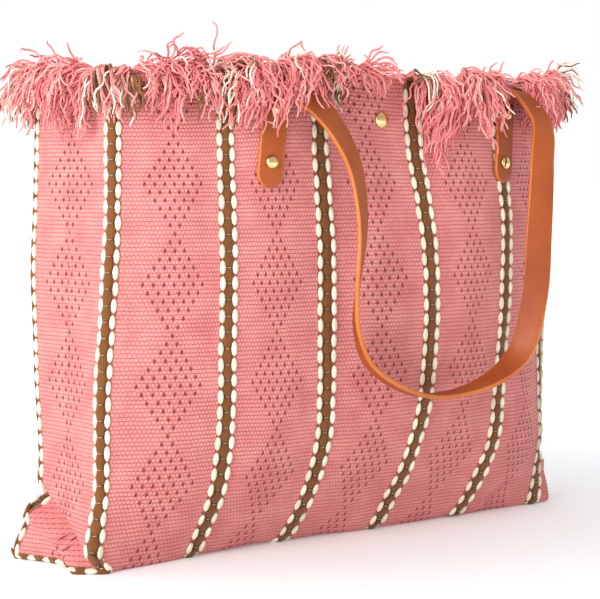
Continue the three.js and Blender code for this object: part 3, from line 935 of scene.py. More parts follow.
class Body:
    """The woven cloth and the lining of both halves."""

    def __init__(self, finishes: Finishes) -> None:
        """Shapes both halves."""
        self.finishes = finishes
        form = BagForm()
        self.halves = {face: ClothHalf(form, face) for face in ("front", "back")}

    def side_of(self, face: str) -> str:
        """Returns the side panel that belongs with a face."""
        return "left" if face == "front" else "right"

    def dress(self, piece: bpy.types.Object, half: ClothHalf, thickness: float, uv: Array) -> None:
        """Gives a cloth piece its cloth coordinates and its thickness, inwards."""
        layer = piece.data.uv_layers.new(name="cloth")
        loops = np.zeros(len(piece.data.loops), np.int32)
        piece.data.loops.foreach_get("vertex_index", loops)
        layer.data.foreach_set("uv", uv[loops].astype(np.float32).ravel())
        solid = piece.modifiers.new("thickness", "SOLIDIFY")
        solid.thickness = thickness
        solid.offset = -1.0

    def cloth_uv(self, half: ClothHalf, faces: list[tuple[int, ...]], grid: Array) -> Array:
        """Returns the cloth coordinates of every grid node, across and along."""
        across, along = np.meshgrid(half.across, half.along, indexing="ij")
        return np.stack([across, along], -1)

    def woven(self, face: str) -> bpy.types.Object:
        """Makes the woven cloth of one half."""
        half = self.halves[face]
        piece = new_piece(f"{face}_woven_cloth", half.points, half.faces)
        self.set_uv(piece, half, 1)
        solid = piece.modifiers.new("thickness", "SOLIDIFY")
        solid.thickness = 1.4 * MM
        solid.offset = -1.0
        finish_mesh(piece, self.finishes.weave)
        nodes = [f"woven_{face}", f"woven_{face}_mouth", f"woven_{self.side_of(face)}_side"]
        if face == "front":
            nodes.append("woven_base")
        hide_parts(*nodes)
        MOUTH.bend(piece, face)
        edge, base = half.form.half_width, half.form.half_depth
        flat = (2 * (edge + base), base + half.form.height)
        flat[0] * flat[1] - 2 * base * base
        return piece

    def set_uv(self, piece: bpy.types.Object, half: ClothHalf, step: int) -> None:
        """Stores the place on the flat cloth at every face corner."""
        layer = piece.data.uv_layers.new(name="cloth")
        columns, rows = len(half.across), len(half.along)
        values = []
        for i in range(0, columns - 1, step):
            for j in range(0, rows - 1, step):
                if j >= half.base_rows or half.left <= i < half.right:
                    a, b = half.across[i], half.across[min(i + step, columns - 1)]
                    c, d = half.along[j], half.along[min(j + step, rows - 1)]
                    values.extend((a, c, b, c, b, d, a, d))
        uv = np.array(values, np.float32).reshape(-1, 2)
        uv[:, 0] *= half.hand
        layer.data.foreach_set("uv", uv.ravel())

    def lining(self, face: str) -> bpy.types.Object:
        """Makes the lining of one half, just inside the woven cloth and facing inwards."""
        half = self.halves[face]
        top = half.form.height - 4 * MM
        inset = 2.4 * MM
        points = half.points - half.normals * inset
        points[:, 2] = np.minimum(points[:, 2], top - 1 * MM + 0 * points[:, 2])
        piece = new_piece(f"{face}_lining", points, half.faces)
        self.set_uv(piece, half, 1)
        piece.data.flip_normals()
        finish_mesh(piece, self.finishes.lining)
        nodes = [f"lining_{face}", f"lining_{face}_mouth", f"lining_{self.side_of(face)}_side"]
        if face == "front":
            nodes.append("lining_base")
        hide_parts(*nodes)
        MOUTH.bend(piece, face)
        edge, base = half.form.half_width, half.form.half_depth
        flat = (2 * (edge + base), base + half.form.height)
        flat[0] * flat[1] - 2 * base * base
        return piece


@dataclass
class StripeStitches:
    """The raised threads of the warp stripes: brown floats between two rows of cream stitches."""
    trees: Trees
    finishes: Finishes
    cream: tuple = srgb(240, 232, 208)
    brown: tuple = srgb(124, 76, 36)
    beside: float = 5.6 * MM
    oval: tuple = (4.5 * MM, 10.9 * MM, 3.4 * MM)
    float_size: tuple = (7.6 * MM, 13.6 * MM, 3.0 * MM)
    bar: tuple = (0.45 * MM, 4.2 * MM, 0.8 * MM)
    bar_tint: tuple = srgb(206, 184, 150)

    def build(self, half: ClothHalf) -> bpy.types.Object:
        """Makes every raised thread of one half as one piece."""
        random = np.random.default_rng(11 if half.face == "front" else 12)
        pitch = LAYOUT.stitch_pitch * MM
        start = np.arange(0.5 * pitch, half.along[-1] - 0.3 * pitch, pitch)
        parts = []
        for k in range(LAYOUT.count):
            line = (LAYOUT.first + k * LAYOUT.pitch) * MM * half.hand
            phase = random.uniform(-0.4, 0.4) * pitch
            rows = start + phase
            rows = rows[(rows > 0.2 * pitch) & (rows < half.along[-1] - 0.4 * pitch)]
            rows = rows + random.normal(0, 0.15 * MM, len(rows))
            n = len(rows)
            wobble = random.normal(0, 0.2 * MM, n)
            for side in (-1, 1):
                u = line + side * self.beside + wobble + random.normal(0, 0.15 * MM, n)
                parts.append(self.strew(half, u, rows, self.oval, self.cream, random, 0.5 * MM, False))
            between = rows[:-1] + 0.5 * pitch
            parts.append(self.strew(half, line + wobble[:-1], between, self.float_size, self.brown, random,
                                    -0.1 * MM, False))
            parts.append(self.strew(half, line + wobble, rows, self.bar, self.bar_tint, random, 0.85 * MM, True))
        points, outward, along, stretch, tint = (np.concatenate(p) for p in zip(*parts))
        seeds = new_piece("stripe_seeds", points, [])
        paint_points(seeds, "outward", "FLOAT_VECTOR", outward)
        paint_points(seeds, "along", "FLOAT_VECTOR", along)
        paint_points(seeds, "stretch", "FLOAT_VECTOR", stretch)
        paint_points(seeds, "tint", "FLOAT_COLOR", tint)
        piece = self.trees.beads.grown(seeds, f"{half.face}_stripe_threads", {
            "Finish": self.finishes.stripe_yarn, "Sides": 8, "Rings": 5})
        MOUTH.bend(piece, half.face)
        return piece

    def strew(self, half: ClothHalf, across: Array, along: Array, size: tuple, colour: tuple,
              random: np.random.Generator, lift: float, crosswise: bool) -> tuple[Array, ...]:
        """Returns points, directions, sizes and colours for one row of threads."""
        inside = np.clip(across, half.across[0], half.across[-1])
        # at a corner edge the base has no cloth beyond its end, so a row's outer half stays on the edge
        limit = half.form.half_width - 0.5 * MM
        inside = np.where(along < half.form.half_depth, np.clip(inside, -limit, limit), inside)
        points, outward, rise = half.sample(inside, along, lift)
        points[:, 2] = np.maximum(points[:, 2], 0.65 * size[2])
        if crosswise:
            rise = np.cross(outward, rise)
        n = len(points)
        stretch = np.tile(np.array(size), (n, 1)) * random.normal(1.0, 0.03, (n, 3))
        shade = random.normal(1.0, 0.05, (n, 1))
        tint = np.concatenate([np.clip(np.array(colour[:3]) * shade, 0, 1), np.ones((n, 1))], 1)
        return points, outward, rise, stretch, tint


# ---------------------------------------------------------------------------------------------
# Fringe
# ---------------------------------------------------------------------------------------------
@dataclass(frozen=True)
class Habit:
    """How the fringe grows at one place along the rim."""
    across: float
    length: float
    lean: float
    thick: float
    sway: float


@dataclass
class Fringe:
    """The dense yarn fringe round the mouth, in tufts that arch over the rim and hang outside."""
    trees: Trees
    finishes: Finishes
    pitch: float = 3.2 * MM
    steps: int = 17
    strands: int = 12
    radius: float = 0.76 * MM
    stoop: float = 0.088 / MM
    wave: float = 1.5 * MM
    wavelength: float = 20 * MM
    crown: tuple = (376 * MM, 390 * MM)
    flank: tuple = (234 * MM, 249 * MM)
    pink: tuple = srgb(250, 158, 154)
    rose: tuple = srgb(240, 132, 132)
    blush: tuple = srgb(255, 194, 188)
    cream: tuple = srgb(246, 234, 216)
    brown: tuple = srgb(140, 98, 58)
    front_habits: tuple[Habit, ...] = (
        Habit(-0.268, 0.058, 0.9, 1.0, -0.2), Habit(-0.240, 0.052, 0.9, 1.0, -0.4),
        Habit(-0.215, 0.050, 1.0, 1.0, 0.1), Habit(-0.180, 0.050, 1.0, 1.0, 0.3),
        Habit(-0.150, 0.046, 1.0, 1.0, 0.2), Habit(-0.135, 0.062, 0.9, 1.0, 0.1),
        Habit(-0.110, 0.062, 0.8, 1.0, 0.0), Habit(-0.085, 0.058, 0.6, 1.0, 0.4),
        Habit(-0.058, 0.052, 0.8, 1.0, 0.6), Habit(-0.040, 0.030, 0.5, 0.5, 0.2),
        Habit(-0.022, 0.036, 0.3, 0.7, 0.4), Habit(-0.008, 0.036, 0.5, 0.7, 0.5),
        Habit(0.004, 0.014, 0.6, 0.25, 0.0), Habit(0.028, 0.012, 0.6, 0.25, 0.0),
        Habit(0.040, 0.056, 1.0, 1.0, -0.2), Habit(0.060, 0.072, 1.0, 1.1, 0.1),
        Habit(0.084, 0.060, 0.95, 1.1, -0.3), Habit(0.096, 0.030, 0.9, 0.8, -0.6),
        Habit(0.114, 0.012, 0.6, 0.4, 0.0), Habit(0.127, 0.014, 0.6, 0.5, 0.5),
        Habit(0.142, 0.052, 0.8, 0.9, 0.5),
        Habit(0.190, 0.056, 0.9, 1.0, 0.3), Habit(0.225, 0.052, 0.9, 1.0, 0.0),
        Habit(0.268, 0.052, 0.9, 1.0, 0.0),
    )

    def habit(self, across: Array, key: str) -> Array:
        """Returns one trait of the fringe between its listed places."""
        places = [h.across for h in self.front_habits]
        return np.interp(across, places, [getattr(h, key) for h in self.front_habits])

    def strand_colour(self, across: float, random: np.random.Generator) -> Array:
        """Returns a strand's colour: the stripe's threads at a stripe and pinks elsewhere."""
        offset = abs(float(LAYOUT.offset(np.array(across / MM))))
        draw = random.random()
        if offset < 4.5 and draw < 0.8:
            base = np.array(self.brown[:3])
        elif offset < 8.0 and draw < 0.75:
            base = np.array(self.cream[:3])
        elif draw > 0.97:
            base = np.array(self.cream[:3])
        else:
            share = random.random()
            base = np.array(self.pink[:3]) * (1 - share) + np.array(self.rose[:3] if share > 0.5 else self.blush[:3]) * share
        return np.clip(base * random.normal(1.0, 0.08), 0, 1)

    def build(self, half: ClothHalf, turns: "list[StrapTurn]") -> list[bpy.types.Object]:
        """Makes one half's fringe, split where its stretches move or end."""
        random = np.random.default_rng(41 if half.face == "front" else 42)
        lines, tints, roots = self.grow(half, turns, random)
        side = "left" if half.face == "front" else "right"
        pieces = []
        cuts = {
            f"{side}_end": (-1.0, -half.form.half_width + 2 * MM, (f"fringe_{side}_side",)),
            "corner": (-half.form.half_width + 2 * MM, -0.098, (f"fringe_{half.face}_corner",)),
            "mouth": (-0.098, 0.098, (f"fringe_{half.face}_mouth", f"fringe_{half.face}_beside_mouth")),
            "far_corner": (0.098, 1.0, (f"fringe_{half.face}_far_corner",)),
        }
        for label, (low, high, nodes) in cuts.items():
            chosen = (roots > low) & (roots <= high)
            piece = self.spin(f"{half.face}_fringe_{label}", lines[chosen], tints[chosen])
            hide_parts(*nodes)
            if label == "mouth":
                MOUTH.bend(piece, half.face)
            else:
                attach(piece, ROOT)
            pieces.append(piece)
        return pieces

    def grow(self, half: ClothHalf, turns: "list[StrapTurn]",
             random: np.random.Generator) -> tuple[Array, Array, Array]:
        """Grows every strand of one half.

        Args:
            half: The cloth that the strands come out of.
            turns: The straps' turns that strands lie over.
            random: Source of the tufts' variety.

        Returns:
            Points of each strand from root to tip, its colour, and where its root is across the cloth.
        """
        span = half.across[-1]
        starts, headings, lengths, colours, layers, droops, curls, phases = [], [], [], [], [], [], [], []
        place = -span + 1 * MM
        while place < span:
            thick = float(self.habit(place, "thick"))
            length = float(self.habit(place, "length"))
            lean = float(self.habit(place, "lean"))
            sway = float(self.habit(place, "sway"))
            count = max(3, int(self.strands * thick * random.uniform(0.75, 1.25)))
            tilt = lean * random.uniform(0.35, 1.35)
            drift = sway + random.normal(0, 0.5)
            reach = length * random.uniform(0.6, 1.05)
            layer = random.uniform(0.5, 8.0) * MM
            turn = random.uniform(0, 2 * math.pi)
            curl = random.normal(0, 1, 3)
            for _ in range(count):
                root = np.clip(place + random.normal(0, 1.3 * MM), -span, span)
                starts.append(root)
                headings.append((tilt + random.normal(0, 0.12), drift + random.normal(0, 0.12)))
                curls.append(curl + random.normal(0, 0.35, 3))
                phases.append(turn + random.normal(0, 0.6))
                lengths.append(reach * random.uniform(0.8, 1.08))
                colours.append(self.strand_colour(root * half.hand, random))
                layers.append(layer + random.uniform(0.0, 4.0) * MM)
                droops.append(random.uniform(0.8, 1.25))
            place += self.pitch * random.uniform(0.75, 1.3)
        roots = np.array(starts)
        lengths, layers, droops = np.array(lengths), np.array(layers), np.array(droops)
        headings = np.array(headings)
        root_along = np.full(len(roots), half.along[-1] - 2.5 * MM)
        points, outward, rise = half.sample(roots, root_along, -0.6 * MM)
        outward[:, 2] = 0
        outward = unit(outward)
        beside = np.cross(np.array([0, 0, 1.0]), outward)
        heading = unit(np.array([0, 0, 1.0]) * np.cos(headings[:, :1])
                       + outward * np.sin(np.maximum(headings[:, :1], 0.5))
                       + beside * headings[:, 1:] * 0.8)
        step = (lengths / (self.steps - 1))[:, None]
        lines = [points]
        curl_axis = unit(np.array(curls))
        place = points.copy()
        for k in range(1, self.steps):
            fall = step * self.stoop * droops[:, None]
            heading = heading + np.array([0, 0, -1.0]) * fall
            loose = 0.02 + 0.04 * k / self.steps
            heading = heading + np.cross(heading, curl_axis) * 0.12 + random.normal(0, loose, heading.shape)
            heading = unit(heading)
            place = place + heading * step
            place = self.kept_out(place, half, layers, turns, k)
            heading = unit(0.35 * heading + 0.65 * (place - lines[-1]) / step)
            lines.append(place.copy())
        waved = self.waved(np.stack(lines, 1), lengths, np.array(phases), random)
        waved[..., 2] = self.held(waved[..., 2], *self.crown)
        waved[..., 0] = np.sign(waved[..., 0]) * self.held(np.abs(waved[..., 0]), *self.flank)
        return waved, np.array(colours), roots

    @staticmethod
    def held(values: Array, start: float, limit: float) -> Array:
        """Returns the values, with those past the start drawn in so that none passes the limit."""
        room = limit - start
        return np.where(values > start, limit - room * np.exp(-(values - start) / room), values)

    def waved(self, lines: Array, lengths: Array, phases: Array, random: np.random.Generator) -> Array:
        """Returns the strands with the loose corkscrew that untwisting leaves in them."""
        forward = unit(np.gradient(lines, axis=1))
        sideways = unit(np.cross(forward, np.array([0.31, 0.17, 0.93])))
        upward = np.cross(forward, sideways)
        share = np.linspace(0, 1, self.steps)
        stretch = random.uniform(0.8, 1.3, len(lines))
        angle = phases[:, None] + 2 * math.pi * lengths[:, None] * share / (self.wavelength * stretch[:, None])
        size = self.wave * smooth(share / 0.45) * random.uniform(0.4, 1.3, (len(lines), 1))
        return lines + sideways * (size * np.cos(angle))[..., None] + upward * (size * np.sin(angle))[..., None]

    def kept_out(self, place: Array, half: ClothHalf, layers: Array, turns: "list[StrapTurn]", k: int) -> Array:
        """Returns the points moved out of the cloth and off the straps."""
        form = half.form
        local = half_turn(place) if half.face == "back" else place.copy()
        share = smooth(np.array((k - 2) / 5))
        keep = 1.2 * MM + layers * share
        z = np.clip(local[:, 2], 0, form.height)
        below = smooth((form.height + 6 * MM - local[:, 2]) / (8 * MM)) * share
        width, depth = form.width_at(z), form.depth_at(np.clip(local[:, 0], -form.width_at(z), form.width_at(z)), z)
        past_front = depth + keep + local[:, 1]
        past_side = width + keep - np.abs(local[:, 0])
        inside = (past_front > 0) & (past_side > 0)
        by_front = inside & (past_front <= past_side)
        by_side = inside & ~by_front
        local[:, 1] -= np.where(by_front, past_front * below, 0.0)
        local[:, 0] += np.where(by_side, np.sign(local[:, 0]) * past_side * below, 0.0)
        moved = half_turn(local) if half.face == "back" else local
        for turn in turns:
            moved = turn.clear(moved, layers * 0.5)
        return turns[1].parted(moved)

    def spin(self, name: str, lines: Array, tints: Array) -> bpy.types.Object:
        """Turns the strands' lines into yarns."""
        count, steps = lines.shape[:2]
        numbers = np.arange(count * steps).reshape(count, steps)
        edges = np.stack([numbers[:, :-1].ravel(), numbers[:, 1:].ravel()], 1)
        seeds = new_piece(f"{name}_lines", lines.reshape(-1, 3), [], edges.tolist())
        taper = np.interp(np.arange(steps) / (steps - 1), [0, 0.85, 1], [1.0, 1.0, 0.6])
        paint_points(seeds, "thickness", "FLOAT", np.tile(self.radius * taper, count))
        colour = np.concatenate([np.repeat(tints, steps, 0), np.ones((count * steps, 1))], 1)
        paint_points(seeds, "tint", "FLOAT_COLOR", colour)
        return self.trees.yarn.grown(seeds, name, {"Finish": self.finishes.yarn, "Sides": 4})


# ---------------------------------------------------------------------------------------------
# Handles
# ---------------------------------------------------------------------------------------------
@dataclass
class StrapTurn:
    """One riveted strap end and the turn that the strap makes over it."""
    origin: Array
    up: Array
    out: Array
    across: Array
    rise: float
    pitch: float
    low: float
    thickness: float = 3.2 * MM
    radius: float = 8 * MM
    width: float = 20 * MM
    bare: tuple = (9 * MM, 2 * MM)
    bare_height: float = 26 * MM

    @property
    def start(self) -> Array:
        """Middle of the strap where the turn begins."""
        return self.origin + self.up * self.rise + self.out * self.thickness / 2

    def point(self, degrees: float) -> Array:
        """Returns the strap's middle after that much of the turn."""
        angle = math.radians(degrees)
        return (self.start + self.out * self.radius * (1 - math.cos(angle))
                + self.up * self.radius * math.sin(angle))

    def turned(self) -> "StrapTurn":
        """Returns the same strap end on the back face."""
        return StrapTurn(half_turn(self.origin), half_turn(self.up), half_turn(self.out), half_turn(self.across),
                         self.rise, self.pitch, self.low)

    def clear(self, points: Array, extra: Array) -> Array:
        """Returns the points moved off the strap's turn and the leg that hangs from it."""
        centre = self.start + self.out * self.radius
        reach = self.radius + self.thickness + extra
        rel = points - centre
        sideways = rel @ self.across
        flat = rel - np.outer(sideways, self.across)
        height = flat @ self.up
        forward = flat @ self.out
        below = np.minimum(height, 0.0)
        radial = flat - np.outer(below, self.up)
        distance = np.linalg.norm(radial, axis=1)
        close = (distance < reach) & (np.abs(sideways) < self.width / 2 + 1.5 * MM) & (height > -45 * MM)
        close &= (forward > -4 * MM) | (height > 0)
        push = unit(radial) * (reach - distance)[:, None]
        return points + np.where(close[:, None], push, 0.0)

    def parted(self, points: Array) -> Array:
        """Returns the points moved aside to either edge of the strap, so that its turn stays bare."""
        rel = points - self.start
        sideways, height = rel @ self.across, rel @ self.up
        left, right = -self.width / 2 - self.bare[0], self.width / 2 + self.bare[1]
        aside = np.where(sideways < 0, left, right)
        near = (sideways > left) & (sideways < right) & (height < self.bare_height) & (height > -60 * MM)
        return points + np.outer(np.where(near, aside - sideways, 0.0), self.across)


class Fastening:
    """Works out the strap ends from the rivets, their inner caps and the strap ends in the frame."""

    def __init__(self) -> None:
        """Reads the frame and finds the two strap ends of each face."""
        self.front = [self.find(1, 2, 1), self.find(3, 4, 2)]
        self.turns = {"front": self.front, "back": [turn.turned() for turn in self.front]}

    @staticmethod
    def node_corners(node: str) -> Array:
        """Returns the distinct corners of a node in the frame."""
        return np.unique(corners(frame["nodes"][node]).round(6), axis=0)

    def find(self, low: int, high: int, end: int) -> StrapTurn:
        """Returns one strap end of the front face.

        Args:
            low: Number of its lower rivet.
            high: Number of its upper rivet.
            end: Number of the strap end.

        Returns:
            The strap end, with its rise, rivet pitch and lower end as they are in the frame.
        """
        # a turned part is even about its axis, so the mean of its corners lies on the axis
        lower, upper, inner = (self.node_corners(node).mean(axis=0) for node in (
            f"front_rivet_cap_{low}", f"front_rivet_cap_{high}", f"front_rivet_inner_cap_{low}"))
        strap = self.node_corners(f"front_strap_end_{end}")
        up, out = unit(upper - lower), unit(lower - inner)
        seat = (strap @ out).min()
        origin = lower + out * (seat - lower @ out)
        heights = (strap - origin) @ up
        outer_radius = StrapTurn.radius + StrapTurn.thickness / 2
        return StrapTurn(origin, up, out, np.cross(up, out), rise=heights.max() - outer_radius,
                         pitch=float(np.linalg.norm(upper - lower)), low=-heights.min())


@dataclass
class Handle:
    """One leather handle: a strap whose two ends are riveted to a face and whose loop hangs down."""
    trees: Trees
    finishes: Finishes
    width: float = 20 * MM
    thickness: float = 3.2 * MM
    spacing: float = 2.4 * MM
    stitch_inset: float = 1.9 * MM
    stitch_pitch: float = 3.4 * MM
    route: tuple = (
        (-84, -107, 329), (-66, -112, 309), (-53, -115, 285), (-49, -118, 260), (-49, -120, 236),
        (-55, -121, 191), (-54, -120, 167), (-43, -119, 143), (-15, -118, 124), (23, -118, 113),
        (75, -122, 120), (104, -128, 141), (114, -134, 184), (118, -134, 231), (126, -129, 285),
        (136, -118, 318),
    )

    def centreline(self, turns: list[StrapTurn]) -> tuple[Array, Array, Array]:
        """Returns the strap's middle line, its direction across, and its distance past each turn's start.

        Args:
            turns: The front face's two strap ends.

        Returns:
            Points, across directions and, for each point, how far it lies past the nearer turn's start.
        """
        left, right = turns
        first, last = left.origin - left.up * left.low, right.origin - right.up * right.low
        first, last = first + left.out * self.thickness / 2, last + right.out * self.thickness / 2
        loop = [left.point(94), left.point(115), *(np.array(p) * MM for p in self.route),
                right.point(115), right.point(94)]
        loop = resampled(catmull_rom(np.array(loop), 24), self.spacing)
        lead = [straight(first, left.start, self.spacing), arc(left, 0, 94, 10)]
        tail = [arc(right, 94, 0, 10), straight(right.start, last, self.spacing)]
        share = np.linspace(0, 1, len(loop))
        twist = math.pi * np.clip((share - 0.03) / 0.94, 0, 1)
        across = np.stack([np.cos(twist), np.sin(twist), 0 * twist], 1)
        ends = np.where(share[:, None] < 0.5, left.across, -right.across)
        blend = 1 - smooth(np.minimum(share, 1 - share) / 0.08)
        across = across * (1 - blend[:, None]) + ends * blend[:, None]
        lead_points, tail_points = np.concatenate(lead), np.concatenate(tail)
        points = np.concatenate([lead_points, loop[1:-1], tail_points])
        sideways = np.concatenate([np.tile(left.across, (len(lead_points), 1)), across[1:-1],
                                   np.tile(-right.across, (len(tail_points), 1))])
        lengths = np.concatenate([[0], np.cumsum(np.linalg.norm(np.diff(points, axis=0), axis=1))])
        begin = np.linalg.norm(left.start - first)
        finish = lengths[-1] - np.linalg.norm(right.start - last)
        return points, sideways, np.minimum(lengths - begin, finish - lengths)

    def section(self) -> tuple[Array, Array]:
        """Returns the strap's rounded outline as shares of half its width and half its thickness."""
        edge = [(1.0, 0.0), (0.995, 0.45), (0.975, 0.8), (0.93, 0.97), (0.88, 1.0), (0.82, 0.93), (0.76, 1.0),
                (0.4, 1.03), (0.0, 1.04)]
        right = edge + [(-p, q) for p, q in edge[-2::-1]]
        ring = right + [(p, -q) for p, q in right[-2:0:-1]]
        return np.array(ring)[:, 0], np.array(ring)[:, 1]

    def build(self, face: str, turns: list[StrapTurn]) -> list[bpy.types.Object]:
        """Makes the strap of one face and its stitching."""
        points, sideways, past = self.centreline(turns)
        if face == "back":
            points, sideways = half_turn(points), half_turn(sideways)
        along = unit(np.gradient(points, axis=0))
        sideways = unit(sideways - np.sum(sideways * along, 1, keepdims=True) * along)
        normal = np.cross(sideways, along)
        lengths = np.concatenate([[0], np.cumsum(np.linalg.norm(np.diff(points, axis=0), axis=1))])
        nearest = np.minimum(lengths, lengths[-1] - lengths)
        tip = 10 * MM
        half_width = self.width / 2 * np.sqrt(np.clip(1 - (1 - np.minimum(nearest / tip, 1)) ** 2, 0.01, 1))
        p, q = self.section()
        thin = self.thickness / 2 * np.where(nearest < 1 * MM, 0.8, 1.0)
        ring = (points[:, None] + sideways[:, None] * (half_width[:, None] * p)[..., None]
                + normal[:, None] * (thin[:, None] * q)[..., None])
        piece = self.skin(f"{face}_handle_strap", ring, p, q)
        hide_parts(f"{face}_strap_end_1", f"{face}_strap_end_2", f"{face}_handle_loop")
        turn_length = math.pi * turns[0].radius
        share = smooth(past / turn_length)
        self.follow(piece, face, np.concatenate([np.repeat(share, len(p)), share[[0, -1]]]))
        stitches = self.stitches(face, points, sideways, normal, along, lengths, past, turn_length)
        return [piece, stitches]

    def follow(self, piece: bpy.types.Object, face: str, shares: Array) -> None:
        """Makes the strap turn over its ends as the handle swings."""
        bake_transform(piece, ROOT, f"{face}_handle", start=(0, 0, 0.30), end=(0, 0, 0.36))
        piece.data.attributes["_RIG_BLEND"].data.foreach_set("value", shares.astype(np.float32))

    def skin(self, name: str, ring: Array, p: Array, q: Array) -> bpy.types.Object:
        """Makes the strap's closed skin from its rings, with its cut edges painted."""
        rings, count = ring.shape[:2]
        verts = np.concatenate([ring.reshape(-1, 3), ring[0].mean(0)[None], ring[-1].mean(0)[None]])
        faces, finish = [], []
        for k in range(rings - 1):
            for i in range(count):
                j = (i + 1) % count
                faces.append((k * count + i, k * count + j, (k + 1) * count + j, (k + 1) * count + i))
                finish.append(int(min(abs(p[i]), abs(p[j])) > 0.92))
        first, last = rings * count, rings * count + 1
        for i in range(count):
            j = (i + 1) % count
            faces += [(first, j, i), (last, (rings - 1) * count + i, (rings - 1) * count + j)]
            finish += [1, 1]
        piece = new_piece(name, verts, faces)
        mesh = bmesh.new()
        mesh.from_mesh(piece.data)
        bmesh.ops.recalc_face_normals(mesh, faces=mesh.faces)
        mesh.to_mesh(piece.data)
        mesh.free()
        finish_mesh(piece, self.finishes.leather)
        piece.data.materials.append(self.finishes.edge_paint)
        piece.data.polygons.foreach_set("material_index", finish)
        return piece

    def stitches(self, face: str, points: Array, sideways: Array, normal: Array, along: Array, lengths: Array,
                 past: Array, turn_length: float) -> bpy.types.Object:
        """Makes the tone-on-tone stitches that run inside both edges, on both sides of the strap."""
        start, end = 12 * MM, lengths[-1] - 12 * MM
        places = np.arange(start, end, self.stitch_pitch)

        def at(values: Array) -> Array:
            """Returns values along the strap at the stitches."""
            return np.stack([np.interp(places, lengths, values[:, k]) for k in range(3)], 1)

        middle, across, outward, forward = at(points), unit(at(sideways)), unit(at(normal)), unit(at(along))
        parts = []
        for side in (-1, 1):
            for facing in (-1, 1):
                lift = outward * facing * (self.thickness / 2 - 0.02 * MM)
                parts.append((middle + across * side * (self.width / 2 - self.stitch_inset) + lift,
                              outward * facing, forward))
        where, out, forward = (np.concatenate(p) for p in zip(*parts))
        size = np.array([0.55, 2.4, 0.62]) * MM
        seeds = new_piece("strap_seeds", where, [])
        paint_points(seeds, "outward", "FLOAT_VECTOR", out)
        paint_points(seeds, "along", "FLOAT_VECTOR", forward)
        paint_points(seeds, "stretch", "FLOAT_VECTOR", np.tile(size, (len(where), 1)))
        piece = self.trees.beads.grown(seeds, f"{face}_handle_stitching", {
            "Finish": self.finishes.thread, "Sides": 5, "Rings": 4})
        each = len(piece.data.vertices) // len(where)
        share = smooth(np.interp(places, lengths, past) / turn_length)
        self.follow(piece, face, np.repeat(np.tile(share, 4), each))
        return piece


def straight(a: Array, b: Array, spacing: float) -> Array:
    """Returns points from a towards b, without b."""
    count = max(2, round(float(np.linalg.norm(b - a)) / spacing))
    return a + (b - a) * np.linspace(0, 1, count, endpoint=False)[:, None]


def arc(turn: StrapTurn, start: float, end: float, count: int) -> Array:
    """Returns points of a strap's turn between two angles, both included."""
    return np.array([turn.point(angle) for angle in np.linspace(start, end, count)])


def catmull_rom(points: Array, steps: int) -> Array:
    """Returns a smooth curve through the points, with even-handed (centripetal) spacing."""
    padded = np.concatenate([[2 * points[0] - points[1]], points, [2 * points[-1] - points[-2]]])
    curve = []
    for a, b, c, d in zip(padded, padded[1:], padded[2:], padded[3:]):
        knots = [0.0]
        for p, q in ((a, b), (b, c), (c, d)):
            knots.append(knots[-1] + max(float(np.linalg.norm(q - p)), 1e-9) ** 0.5)
        t = np.linspace(knots[1], knots[2], steps, endpoint=False)[:, None]

        def mix(p: Array, q: Array, low: float, high: float) -> Array:
            """Returns the blend of two points or curves over a stretch of knots."""
            return p * (high - t) / (high - low) + q * (t - low) / (high - low)

        first, second, third = mix(a, b, *knots[0:2]), mix(b, c, *knots[1:3]), mix(c, d, *knots[2:4])
        left, right = mix(first, second, knots[0], knots[2]), mix(second, third, knots[1], knots[3])
        curve.append(mix(left, right, knots[1], knots[2]))
    return np.concatenate([*curve, points[-1:]])


def resampled(points: Array, spacing: float) -> Array:
    """Returns the curve at even steps of about that length."""
    lengths = np.concatenate([[0], np.cumsum(np.linalg.norm(np.diff(points, axis=0), axis=1))])
    places = np.linspace(0, lengths[-1], round(lengths[-1] / spacing) + 1)
    return np.stack([np.interp(places, lengths, points[:, k]) for k in range(3)], 1)


# ---------------------------------------------------------------------------------------------
# Rivets and snap
# ---------------------------------------------------------------------------------------------
def turned_part(name: str, profile: Sequence[tuple[float, float]], sides: int = 40) -> bpy.types.Object:
    """Makes a turned part about the upright axis.

    Args:
        name: The part's name.
        profile: Radius and height of each step of its outline, in millimetres, from axis to axis.
        sides: How many steps there are round it.

    Returns:
        The part, closed, with its faces outwards.
    """
    outline = np.array(profile) * MM
    verts, rings = [], []
    for radius, height in outline:
        count = 1 if radius < 1e-9 else sides
        rings.append(range(len(verts), len(verts) + count))
        for k in range(count):
            angle = 2 * math.pi * k / sides
            verts.append((radius * math.cos(angle), radius * math.sin(angle), height))
    faces = []
    for low, high in zip(rings, rings[1:]):
        for k in range(sides):
            a, b = low[k % len(low)], low[(k + 1) % len(low)]
            c, d = high[(k + 1) % len(high)], high[k % len(high)]
            face = list(dict.fromkeys((a, b, c, d)))
            if len(face) > 2:
                faces.append(face)
    piece = new_piece(name, np.array(verts), faces)
    mesh = bmesh.new()
    mesh.from_mesh(piece.data)
    bmesh.ops.remove_doubles(mesh, verts=mesh.verts, dist=1e-7)
    bmesh.ops.recalc_face_normals(mesh, faces=mesh.faces)
    mesh.to_mesh(piece.data)
    mesh.free()
    return piece


def domed(radius: float, seat: float, height: float, rim: float, steps: int = 8) -> list[tuple[float, float]]:
    """Returns the outline of a domed head from its rim at the seat up to its top on the axis."""
    outline = [(radius - 0.15, seat), (radius, seat + 0.15), (radius, seat + rim)]
    for k in range(1, steps + 1):
        angle = math.pi / 2 * k / steps
        outline.append((radius * math.cos(angle), seat + rim + (height - rim) * math.sin(angle)))
    return outline


